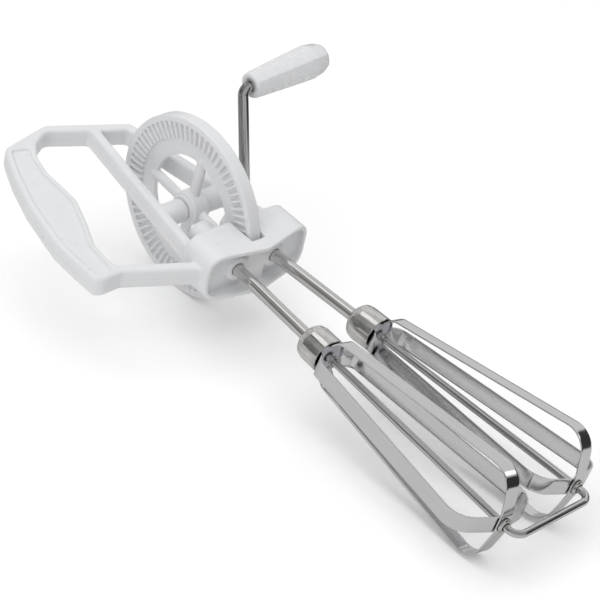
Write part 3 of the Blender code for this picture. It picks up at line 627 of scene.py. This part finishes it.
def recess_outline():
    """The grip's panel, set in from the grip's own edges."""
    edge = GRIP_OUTER[::-1] + LOWER_OUT + GRIP_INNER[::-1] + UPPER_OUT[:1]
    return rounded([(x, y, 4) for x, y in inset(edge, RECESS_RIM)])


def plate_mesh():
    """The grip, arms and struts: one filled outline with two openings and rounded edges."""
    curve = bpy.data.curves.new("plate", "CURVE")
    curve.dimensions = "2D"
    curve.fill_mode = "BOTH"
    curve.extrude = FRAME_T / 2 - FRAME_EDGE
    curve.bevel_depth = FRAME_EDGE
    curve.bevel_resolution = 4
    curve.offset = -FRAME_EDGE
    curve.render_resolution_u = 0
    for outline in (frame_outline(), finger_opening(), wheel_opening()):
        spline = curve.splines.new("POLY")
        spline.points.add(len(outline) - 1)
        spline.use_cyclic_u = True
        for knot, (x, y) in zip(spline.points, outline):
            knot.co = (x, y, 0, 1)
    source = bpy.data.objects.new("plate", curve)
    bpy.context.scene.collection.objects.link(source)
    mesh = bpy.data.meshes.new_from_object(source.evaluated_get(bpy.context.evaluated_depsgraph_get()))
    bpy.data.objects.remove(source)
    bm = bmesh.new()
    bm.from_mesh(mesh)
    bmesh.ops.remove_doubles(bm, verts=bm.verts, dist=0.01)
    bmesh.ops.recalc_face_normals(bm, faces=bm.faces)
    return mesh_from(bm)


def block(low, high):
    (x0, y0, z0), (x1, y1, z1) = low, high
    return raised([(x0, y0), (x1, y0), (x1, y1), (x0, y1)], z0, z1)


def oval(shrink=0.0):
    """The housing's section in X and Z, smaller by a wall."""
    x, z, r = HOUSING_X - shrink, HOUSING_Z - shrink, HOUSING_ROUND - shrink
    return rounded([(x, -z, r), (x, z, r), (-x, z, r), (-x, -z, r)], 14)


def add_frame():
    still = Matrix()
    slot_half = RIM_W / 2 + 0.65
    pocket_end = WHEEL_R + 0.7
    wall_half = slot_half + POCKET_WALL
    reach_z = HOUSING_Z - HOUSING_WALL + 0.4
    steps = [(raised(oval(), DECK_TOP, MOUTH_TIP), DOWN, "UNION"),
             (raised(oval(HOUSING_WALL), DECK_TOP + HOUSING_WALL, BULKHEAD), DOWN, "DIFFERENCE"),
             (raised(oval(HOUSING_WALL), BULKHEAD + BULKHEAD_T, MOUTH_TIP + 5), DOWN, "DIFFERENCE"),
             (block((-wall_half, -pocket_end - POCKET_WALL, -reach_z), (wall_half, -BULKHEAD - 0.5, reach_z)),
              still, "UNION")]
    for who, side in SIDES.items():
        steps.append((bar(BEARING_R, BULKHEAD + 0.4, BEARING_END), down_shaft(who), "UNION"))
        near, far = sorted((side * (COLLAR_W / 2 + GAP), side * strut_x(0)))
        steps.append((bar(BOSS_R, near, far), ALONG_X, "UNION"))
    steps.append((block((-slot_half, -pocket_end, -HOUSING_Z - 2), (slot_half, 0, HOUSING_Z + 2)), still,
                  "DIFFERENCE"))
    for who in SIDES:
        steps.append((bar(PINION_TIP_R + 0.5, DECK_TOP - 5, BULKHEAD - 2), down_shaft(who), "DIFFERENCE"))
        steps.append((bar(TUBE_R + RUN, BULKHEAD - 5, MOUTH_TIP + 5), down_shaft(who), "DIFFERENCE"))
    steps.append((bar(ROD_R + RUN, -AXLE_END - GAP, strut_x(0) + STRUT_W), ALONG_X, "DIFFERENCE"))
    mouth = [(0, -MOUTH_TIP), (HOUSING_X + 4, -MOUTH_SIDE), (HOUSING_X + 4, -MOUTH_TIP - 9),
             (-HOUSING_X - 4, -MOUTH_TIP - 9), (-HOUSING_X - 4, -MOUTH_SIDE)]
    steps.append((raised(mouth, -HOUSING_Z - 2, HOUSING_Z + 2), still, "DIFFERENCE"))
    for side in (1, -1):
        low, high = sorted((side * (FRAME_T / 2 - RECESS_DEPTH), side * (FRAME_T / 2 + 2)))
        steps.append((raised(recess_outline(), low, high), still, "DIFFERENCE"))
    mesh = moulded(carved(plate_mesh(), steps), FRAME_VOXEL, FRAME_SMOOTHING, BIG_PIECE_FACES)
    add_piece("moulded_frame", mesh, still, [FINISHES["frame"]], "frame", ["frame"])


# ------------------------------------------------------------------ gear wheel and pinions

def add_tooth(bm, length, top, foot, height, matrix):
    """One rounded tooth: a block along X whose top is narrower than its foot."""
    made = bmesh.ops.create_cube(bm, size=1)["verts"]
    bmesh.ops.scale(bm, vec=(length, foot, height), verts=made)
    bmesh.ops.scale(bm, vec=(1, top / foot, 1), verts=[v for v in made if v.co.z > 0])
    bmesh.ops.transform(bm, matrix=matrix, verts=made)


def add_wheel():
    half, web = RIM_W / 2, WEB_W / 2
    teeth_out = WHEEL_R - LIP_W
    teeth_in = teeth_out - FACE_W
    root_out = shaft_x(teeth_out) - PINION_TIP_R - MESH_GAP
    root_in = shaft_x(teeth_in) - PINION_TIP_R - MESH_GAP
    sunk = 0.3
    upper = [(WHEEL_R, half), (teeth_out + 0.1, half), (teeth_out, root_out - sunk),
             (teeth_in, root_in - sunk), (teeth_in - TOOTH_RAMP, web), (WEB_IN_R, web)]
    bm = turned([*upper, *[(r, -z) for r, z in upper[::-1]]], 280)
    hub = [(HUB_R - 0.6, HUB_W / 2), (COLLAR_R, HUB_W / 2), (COLLAR_R, COLLAR_W / 2),
           (ROD_R + RUN, COLLAR_W / 2)]
    hub = [(HUB_R, HUB_W / 2 - 0.8), *hub]
    turned([*hub, *[(r, -z) for r, z in hub[::-1]]], 96, bm=bm)
    pitch = 2 * math.pi / WHEEL_TEETH
    middle_r = (teeth_out + teeth_in) / 2
    for side in (1, -1):
        flip = Matrix.Rotation(0 if side > 0 else math.pi, 4, "X")
        tilt = math.atan2(root_out - root_in, FACE_W)
        for tooth in range(WHEEL_TEETH):
            turn = Matrix.Rotation((tooth + 0.5) * pitch * side, 4, "Z")
            seat = Matrix.Translation((middle_r, 0, (root_out + root_in) / 2 + TOOTH_H / 2 - 0.45))
            add_tooth(bm, FACE_W + 0.3, pitch * middle_r * 0.34, pitch * middle_r * 0.62, TOOTH_H + 1.1,
                      flip @ turn @ seat @ Matrix.Rotation(-tilt, 4, "Y"))
    for i in range(SPOKES):
        turn = Matrix.Rotation(math.radians(SPOKE_TURN) + i * 2 * math.pi / SPOKES, 4, "Z")
        flat = Matrix.Diagonal((1, SPOKE_W / 2 / SPOKE_R, 1, 1))
        spoke = bar(SPOKE_R, ROD_R + RUN + 2, WEB_IN_R + 1.5, 32)
        lay = Matrix.Rotation(math.pi / 2, 4, "Y")
        bmesh.ops.transform(spoke, matrix=turn @ flat @ lay, verts=spoke.verts)
        part = mesh_from(spoke)
        bm.from_mesh(part)
        crest = bmesh.ops.create_uvsphere(bm, u_segments=24, v_segments=12, radius=SPOKE_R + 0.25)["verts"]
        bmesh.ops.transform(bm, matrix=turn @ Matrix.Translation((WEB_IN_R + 1.2, 0, 0)), verts=crest)
    bmesh.ops.recalc_face_normals(bm, faces=bm.faces)
    mesh = moulded(mesh_from(bm), WHEEL_VOXEL, GEAR_SMOOTHING, BIG_PIECE_FACES)
    add_piece("moulded_gear_wheel", mesh, ALONG_X, [FINISHES["wheel"]], "crank",
              ["gear_wheel"])


def add_pinion(who):
    toward_wheel = math.pi if who == "right" else 0.0
    root = PINION_TIP_R - TOOTH_H
    low = WHEEL_R - LIP_W - FACE_W - 0.2
    high = WHEEL_R - LIP_W - PINION_TIP_R * SLOPE - MESH_GAP
    bore = TUBE_R + RUN
    profile = [(PINION_HUB_R * 0.62, PINION_TOP), (PINION_HUB_R * 0.9, PINION_TOP + 0.7),
               (PINION_HUB_R, PINION_TOP + 2.2), (PINION_HUB_R, low - 0.3), (root, low), (root, high),
               (PINION_FOOT_R, high + 0.1), (PINION_FOOT_R, BULKHEAD - GAP), (bore, BULKHEAD - GAP),
               (bore, TUBE_TOP - GAP), (0, TUBE_TOP - GAP)]
    bm = turned([(0, PINION_TOP), *profile], 96, closed=False)
    pitch = 2 * math.pi / PINION_TEETH
    for tooth in range(PINION_TEETH):
        seat = Matrix.Translation((root + TOOTH_H / 2 - 0.3, 0, (low + high) / 2))
        add_tooth(bm, high - low, 0.62, 1.6, TOOTH_H + 0.6,
                  Matrix.Rotation(toward_wheel + tooth * pitch, 4, "Z") @ seat
                  @ Matrix(((0, 0, 1, 0), (0, 1, 0, 0), (-1, 0, 0, 0), (0, 0, 0, 1))))
    bmesh.ops.recalc_face_normals(bm, faces=bm.faces)
    mesh = moulded(mesh_from(bm), PINION_VOXEL, GEAR_SMOOTHING, PINION_FACES)
    add_piece(f"{who}_moulded_pinion", mesh, down_shaft(who), [FINISHES["wheel"]], f"{who}_beater",
              [f"{who}_pinion"])


# ------------------------------------------------------------------ crank and knob

def arm_way():
    return Vector((0, math.sin(CRANK_TURN), math.cos(CRANK_TURN)))


def add_crank():
    knob_start = ROD_BEND + SLEEVE_LIP + GAP
    knob_end = knob_start + KNOB_L
    pin_end = knob_end - KNOB_WALL - RETAINER_ROOM + GAP + 1.6
    corner = Vector((ARM_X, 0, 0))
    pin = Matrix.Translation(corner + arm_way() * CRANK_R) @ Matrix.Rotation(
        PIN_LEAN, 4, Vector((1, 0, 0)).cross(arm_way()))
    rod = bend_path([(-AXLE_END, 0, 0), corner, pin @ Vector((0, 0, 0)), pin @ Vector((pin_end, 0, 0))],
                    ROD_BEND)
    add_piece("bent_crank_rod", drawn_rod(rod, ROD_R, 48), Matrix(), [FINISHES["rod"]], "crank",
              ["crank_rod"], 40)

    seat = pin @ ALONG_X
    sleeve_r = ROD_R + RUN + SLEEVE_WALL
    end = knob_end - KNOB_WALL - RETAINER_ROOM - GAP
    liner = turned_soft([(ROD_R + RUN, knob_start - SLEEVE_LIP), (sleeve_r, knob_start - SLEEVE_LIP),
                         (sleeve_r, end), (ROD_R + RUN, end)], 0.12, RING_STEPS)
    add_piece("knob_liner", liner, seat, [FINISHES["small"]], "knob", ["knob_sleeve"], 40)
    add_piece("moulded_knob", knob_mesh(knob_start, knob_end, sleeve_r + RUN), seat, [FINISHES["knob"]],
              "knob", ["crank_knob"])
    low = knob_end - KNOB_WALL - RETAINER_ROOM + GAP
    nut = turned_soft([(ROD_R + RUN, low), (POCKET_R - GAP, low), (POCKET_R - GAP, low + 0.8),
                       (ROD_R + RUN, low + 0.8)], 0.12, RING_STEPS)
    add_piece("push_on_retainer", nut, seat, [FINISHES["small"]], "crank",
              ["knob_retainer"], 40)


def knob_mesh(start, end, bore):
    """Turned on a flowing profile, then its sides are drawn in to soft flats."""
    span = end - start
    belly = start + span * 0.80
    profile = [(bore, start), (KNOB_MOUTH_R - 0.9, start), (KNOB_MOUTH_R - 0.25, start + 0.35),
               (KNOB_MOUTH_R, start + 1.0)]
    rise = 26
    for k in range(1, rise + 1):
        t = k / rise
        swell = 1.15 * t - 0.15 * t ** 3
        profile.append((KNOB_MOUTH_R + (KNOB_BELLY_R - KNOB_MOUTH_R) * swell,
                        start + 1 + (belly - start - 1) * t))
    profile += [(KNOB_BELLY_R - 0.16, belly + 0.8), (KNOB_END_R + 0.45, end - 2.8), (KNOB_END_R, end - 1.9),
                (KNOB_END_R - 0.6, end - 1.0), (KNOB_END_R - 1.7, end - 0.36),
                (KNOB_END_R - 3.4, end - 0.06), (0, end)]
    pocket = end - KNOB_WALL
    inner = [(bore, pocket - RETAINER_ROOM), (POCKET_R, pocket - RETAINER_ROOM), (POCKET_R, pocket),
             (0, pocket)]
    bm = turned([*inner[::-1], *profile], 128, closed=False)
    flat = 2 * math.pi / KNOB_FLATS
    for vert in bm.verts:
        radius = math.hypot(vert.co.x, vert.co.y)
        if radius < KNOB_MOUTH_R - 0.5 or pocket - RETAINER_ROOM - 0.1 < vert.co.z < pocket + 0.1 and \
                radius < POCKET_R + 0.1:
            continue
        off = math.atan2(vert.co.y, vert.co.x) % flat - flat / 2
        sharp = math.cos(flat / 2) / math.cos(off)
        fade = min(1.0, (vert.co.z - start) / 2.5, (end - vert.co.z) / 2.2)
        pull = 1 - 0.78 * max(fade, 0.0) * (1 - sharp)
        vert.co.x *= pull
        vert.co.y *= pull
    return bm


# ------------------------------------------------------------------ beaters

TAPER = math.atan2(BELLY_R - SHOULDER_R, BELLY_DROP - SHOULDER_DROP)
BELLY = FERRULE_MOUTH + BELLY_DROP
ARC_TIP = BELLY + BELLY_BEND * (math.sin(TAPER) + math.sin(END_TILT))
ARC_TIP_R = BELLY_R - BELLY_BEND * (math.cos(TAPER) - math.cos(END_TILT))
OUTER_TIP = ARC_TIP + (ARC_TIP_R - TIP_FLAT) / math.tan(END_TILT)


def strip_course(tip):
    """(length along the strip, down, radius, flatness) stations of one half, from the tip to the ferrule."""
    shoulder = FERRULE_MOUTH + SHOULDER_DROP
    step = tip - OUTER_TIP
    centre_down = BELLY + BELLY_BEND * math.sin(TAPER)
    centre_r = BELLY_R - BELLY_BEND * math.cos(TAPER)
    course = [(tip, 0.0, 1.0), (tip, TIP_FLAT - 0.8, 1.0)]
    arc = 28
    for k in range(arc + 1):
        angle = -END_TILT + (TAPER + END_TILT) * k / arc
        course.append((centre_down - BELLY_BEND * math.sin(angle) + step * (1 - k / arc),
                       centre_r + BELLY_BEND * math.cos(angle), 1.0))
    course += [(shoulder + 1.0, SHOULDER_R - 0.02, 1.0), (shoulder - 0.5, SHOULDER_R - 0.62, 0.95),
               (FERRULE_MOUTH + 1.1, BLADE_MOUTH_R + 0.45, 0.12), (FERRULE_MOUTH + GAP, BLADE_MOUTH_R, 0.0),
               (FERRULE_MOUTH - 9.5, BLADE_MOUTH_R, 0.0)]
    stations = [(0.0, *course[0])]
    for before, now in zip(course, course[1:]):
        stations.append((stations[-1][0] + math.hypot(now[0] - before[0], now[1] - before[1]), *now))
    return stations


def on_course(stations, length):
    """The course's place at a length along the strip."""
    for near, far in zip(stations, stations[1:]):
        if length <= far[0]:
            break
    share = min(max((length - near[0]) / (far[0] - near[0]), 0), 1)
    return [a + (b - a) * share for a, b in zip(near[1:], far[1:])]


def strip_mesh(tip, phase):
    """A flat strip, bent to its course, given its thickness, its soft edges and the hole in its tip."""
    stations = strip_course(tip)
    reach = stations[-1][0]
    bm = bmesh.new()
    bmesh.ops.create_grid(bm, x_segments=320, y_segments=8, size=0.5)
    turn = Matrix.Rotation(phase, 3, "Z")
    unbent = bm.verts.layers.float_vector.new("shape")
    for vert in bm.verts:
        along, width = vert.co.x * 2 * reach, vert.co.y * BLADE_W
        vert[unbent] = (along, width, 0)
        down, radius, flat = on_course(stations, abs(along))
        bent = width / BLADE_MOUTH_R
        x = radius * flat + (1 - flat) * radius * math.cos(bent)
        y = width * flat + (1 - flat) * radius * math.sin(bent)
        vert.co = turn @ Vector((math.copysign(x, along), y, down))
    bmesh.ops.recalc_face_normals(bm, faces=bm.faces)
    tip_face = min(bm.faces, key=lambda face: math.hypot(*face.calc_center_median().xy))
    if tip_face.normal.z < 0:
        bmesh.ops.reverse_faces(bm, faces=bm.faces)
    mesh = mesh_from(bm)
    mesh.materials.append(FINISHES["strip_out"])
    # the second finish goes to the face turned into the loop and is darkened with painted shade
    mesh.materials.append(FINISHES["strip_in_painted_shade"])
    mesh = worked(mesh, ("SOLIDIFY", {"thickness": BLADE_T, "offset": 0.0, "use_even_offset": True,
                                      "material_offset": 1}))
    hole = bar(EYELET_R + RUN, tip - 3, tip + 3, 48)
    mesh = carved(mesh, [(hole, Matrix(), "DIFFERENCE")])
    return worked(mesh, ("BEVEL", {"width": 0.09, "segments": 2, "limit_method": "ANGLE",
                                   "angle_limit": math.radians(50), "harden_normals": False}))


def strip_channel(angle, low, high):
    """The room that a strip's rounded root takes between the filler and the cup."""
    inner = BLADE_MOUTH_R - BLADE_T / 2 - GAP
    outer = FERRULE_R + 1
    reach = (BLADE_W / 2 + GAP) / BLADE_MOUTH_R
    turns = [angle - reach + reach * k / 6 for k in range(13)]
    return raised([(outer * math.cos(a), outer * math.sin(a)) for a in turns]
                  + [(inner * math.cos(a), inner * math.sin(a)) for a in turns[::-1]], low, high)


def add_beater(who):
    stand = down_shaft(who)
    body = f"{who}_beater"
    tube_end = FERRULE_TOP + 5.2
    fit = TUBE_R + RUN
    wall = FERRULE_WALL

    tube = turned_soft([(TUBE_R - TUBE_WALL, TUBE_TOP), (TUBE_R, TUBE_TOP), (TUBE_R, tube_end),
                        (TUBE_R - TUBE_WALL, tube_end)], 0.12, RING_STEPS)
    add_piece(f"{who}_drive_tube", tube, stand, [FINISHES["tube"]], body,
              [f"{who}_shaft"], 40)

    dome = rounded([(fit + 0.02, FERRULE_TOP + 0.2, 0.2), (fit + 0.9, FERRULE_TOP, 0.5),
                    (FERRULE_R - 3.2, FERRULE_TOP + 0.5, 2.2), (FERRULE_R - 0.6, FERRULE_TOP + 2.6, 2.6),
                    (FERRULE_R, FERRULE_TOP + 5.4, 3.0), (FERRULE_R, FERRULE_MOUTH, 0.18),
                    (FERRULE_R - wall, FERRULE_MOUTH, 0.18), (FERRULE_R - wall, FERRULE_TOP + 5.6, 3.0),
                    (FERRULE_R - wall - 0.6, FERRULE_TOP + 3.0, 2.2),
                    (FERRULE_R - wall - 3.0, FERRULE_TOP + 1.2, 2.0), (fit + 0.02, FERRULE_TOP + 0.9, 0.2)])
    add_piece(f"{who}_pressed_cup", turned(dome, 128), stand, [FINISHES["cup"]], body,
              [f"{who}_ferrule"], 50)

    phase = PHASES[who]
    plug_r = FERRULE_R - wall - 0.25
    wire_hole = WIRE_R + 0.8
    plug_top = FERRULE_TOP + 5.6
    plug_end = FERRULE_MOUTH - 0.5
    filler = mesh_from(turned_soft([(wire_hole, plug_top), (plug_r - 1.0, plug_top),
                                    (plug_r, plug_top + 1.0), (plug_r, plug_end), (wire_hole, plug_end)],
                                   0.2))
    channels = [(strip_channel(phase + quarter * math.pi / 2, plug_top - 1, FERRULE_MOUTH + 1), Matrix(),
                 "DIFFERENCE") for quarter in range(4)]
    add_piece(f"{who}_cup_filler", carved(filler, channels), stand, [FINISHES["plug"]], body,
              [f"{who}_plug"], 50)

    for label, tip, turn in (("outer", OUTER_TIP, phase + math.pi / 2),
                             ("inner", OUTER_TIP - CROSS_STEP, phase)):
        add_piece(f"{who}_{label}_strip", strip_mesh(tip, turn), stand,
                  [FINISHES["strip_out"], FINISHES["strip_in_painted_shade"]], body,
                  [f"{who}_{label}_loop"], 45)

    inner = EYELET_R - EYELET_WALL
    top = OUTER_TIP - CROSS_STEP - BLADE_T / 2 - GAP
    end = OUTER_TIP + BLADE_T / 2 + GAP
    flange = EYELET_R + EYELET_FLANGE
    eyelet = turned_soft([(inner, top - 0.6), (flange, top - 0.6), (flange, top), (EYELET_R, top),
                          (EYELET_R, end), (flange, end), (flange, end + 0.6), (inner + 0.5, end + 1.1),
                          (inner, end + 1.1)], 0.24, 72)
    add_piece(f"{who}_tip_eyelet", eyelet, stand, [FINISHES["small"]], body,
              [f"{who}_eyelet"], 50)


# ------------------------------------------------------------------ centre wire and its clips

def add_wire():
    bar_down = OUTER_TIP + BAR_DROP
    corners = [down_shaft("left") @ Vector((0, 0, WIRE_TOP)), down_shaft("left") @ Vector((0, 0, bar_down)),
               down_shaft("right") @ Vector((0, 0, bar_down)), down_shaft("right") @ Vector((0, 0, WIRE_TOP))]
    add_piece("bent_centre_wire", drawn_rod(bend_path(corners, WIRE_BEND, 20), WIRE_R, 40), Matrix(),
              [FINISHES["wire"]], "frame", ["centre_wire"], 40)
    grip = WIRE_R + RUN
    top = FERRULE_MOUTH + CLIP_DROP
    for who in SIDES:
        ring = turned([(grip, top), (grip + 1.1, top), (grip + 1.1, top + CLIP_T), (grip, top + CLIP_T)],
                      RING_STEPS)
        ear = raised(rounded([(-0.9, -CLIP_REACH, 0.6), (0.9, -CLIP_REACH, 0.6), (0.9, -grip - 0.3, 0.1),
                              (-0.9, -grip - 0.3, 0.1)]), top, top + CLIP_T)
        mesh = carved(mesh_from(ring), [(ear, Matrix.Rotation(CLIP_TURN, 4, "Z"), "UNION")])
        mesh = worked(mesh, ("BEVEL", {"width": 0.12, "segments": 2, "limit_method": "ANGLE",
                                       "angle_limit": math.radians(50)}))
        add_piece(f"{who}_wire_clip", mesh, down_shaft(who), [FINISHES["small"]], "frame",
                  [f"{who}_stop_clip"], 45)


# ------------------------------------------------------------------ studio

def heading(azimuth, elevation):
    """A direction: azimuth 0 is -Y, towards the beaters' tips, and 90 is +X; angles in degrees."""
    a, e = math.radians(azimuth), math.radians(elevation)
    return Vector((math.sin(a) * math.cos(e), -math.cos(a) * math.cos(e), math.sin(e)))


# Panels and dark gaps round the studio: (azimuth, elevation, inner and outer angle in degrees, brightness)
PANELS = [
    (120, 22, 34, 44, 0.68),
    (238, 20, 22, 30, 0.20),
    (224, 47, 12, 20, 0.36),
    (186, 66, 10, 13, 1.05),
    (210, 57, 3, 5, 0.12),
    (42, 4, 21, 25, 0.03),
    (66, 1, 17, 20, 0.04),
    (86, 4, 13, 15, 0.04),
    (52, 40, 9, 12, 0.08),
    (67, 30, 6, 8, 1.60),
]
OPEN_STUDIO = 0.55                      # brightness between the panels
# Lamps: (name, place in metres, size in metres, power in watts), each aimed a little above the floor's middle
LAMPS = [("overhead", (-0.15, 0.1, 1.5), 2.0, 14.0), ("left_fill", (-1.3, -0.2, 0.7), 1.0, 3.4)]
LAMP_AIM = Vector((0, 0, 0.04))
FLOOR_GLOW = 0.12                       # lifts the paper to white for the camera only
# Painted reflection: only glossy rays see the floor as a grey that darkens across X towards near black, so
# polished metal mirrors a dark floor that the white paper does not have; from and to these places in metres
PAINTED_REFLECTION_GREY, PAINTED_REFLECTION_DARK = (0.64, 0.64, 0.63, 1), (0.05, 0.05, 0.05, 1)
PAINTED_REFLECTION_FADE = (0.14, 0.22)
LENS_MM, SENSOR_MM = 150.22, 36.0
EYE_AT = Vector((-629.45921936, -601.24682121, 635.57068754))     # millimetres, in the tool's axes
EYE_TURN = (51.53282609, -10.56416919, -41.64006361)              # degrees


def add_studio():
    scene = bpy.context.scene
    scene.view_settings.view_transform = "Standard"
    scene.view_settings.look = "None"

    bm = bmesh.new()
    bmesh.ops.create_grid(bm, x_segments=24, y_segments=24, size=3.0)
    floor = bpy.data.objects.new("studio_floor", mesh_from(bm, "studio_floor"))
    scene.collection.objects.link(floor)
    paper, w, shader = finish("white_paper_floor", (0.95, 0.95, 0.95), 0.9)[:3]
    shader.inputs["Specular IOR Level"].default_value = 0.0
    place = w.add("ShaderNodeTexCoord").outputs["Object"]
    tone = w.mix(w.noise(place, 3.0), (0.94, 0.94, 0.94, 1), (0.96, 0.96, 0.96, 1))
    # painted reflection: glossy rays see a grey floor darkening across X, while the camera sees the white
    # paper
    mirrored = w.add("ShaderNodeLightPath").outputs["Is Glossy Ray"]
    across = w.add("ShaderNodeSeparateXYZ", Vector=place).outputs[0]
    painted_reflection_tone = w.mix(w.span(across, *PAINTED_REFLECTION_FADE), PAINTED_REFLECTION_GREY, PAINTED_REFLECTION_DARK)
    w.tree.links.new(w.mix(mirrored, tone, painted_reflection_tone), shader.inputs["Base Color"])
    seen = w.math("MULTIPLY", w.tree.nodes["Light Path"].outputs["Is Camera Ray"], FLOOR_GLOW)
    w.tree.links.new(seen, shader.inputs["Emission Color"])
    shader.inputs["Emission Strength"].default_value = 1.0
    floor.data.materials.append(paper)

    world = bpy.data.worlds.new("studio")
    scene.world = world
    world.use_nodes = True
    w = Wiring(world.node_tree)
    way = w.add("ShaderNodeTexCoord").outputs["Generated"]
    level = OPEN_STUDIO
    for azimuth, elevation, inner, outer, brightness in PANELS:
        toward = w.add("ShaderNodeVectorMath", {"operation": "DOT_PRODUCT"}, i0=way,
                       i1=heading(azimuth, elevation)).outputs["Value"]
        share = w.span(toward, math.cos(math.radians(outer)), math.cos(math.radians(inner)))
        level = w.mix_values(share, level, brightness)
    back = world.node_tree.nodes["Background"]
    w.tree.links.new(level, back.inputs["Color"])
    back.inputs["Strength"].default_value = 1.0

    for name, place, size, power in LAMPS:
        light = bpy.data.lights.new(name, "AREA")
        light.shape = "SQUARE"
        light.size = size
        light.energy = power
        lamp = bpy.data.objects.new(name, light)
        scene.collection.objects.link(lamp)
        lamp.location = place
        lamp.rotation_euler = (LAMP_AIM - Vector(place)).to_track_quat("-Z", "Y").to_euler()
        lamp.visible_glossy = False

    camera = bpy.data.cameras.new("camera")
    camera.lens = LENS_MM
    camera.sensor_width = SENSOR_MM
    camera.clip_end = 20.0
    eye = bpy.data.objects.new("camera", camera)
    scene.collection.objects.link(eye)
    turn = Euler([math.radians(angle) for angle in EYE_TURN]).to_matrix().to_4x4()
    eye.matrix_world = LYING @ Matrix.Translation(EYE_AT * MM) @ turn
    scene.camera = eye


add_frame()
add_wheel()
add_crank()
add_wire()
for who in SIDES:
    add_pinion(who)
    add_beater(who)
add_studio()
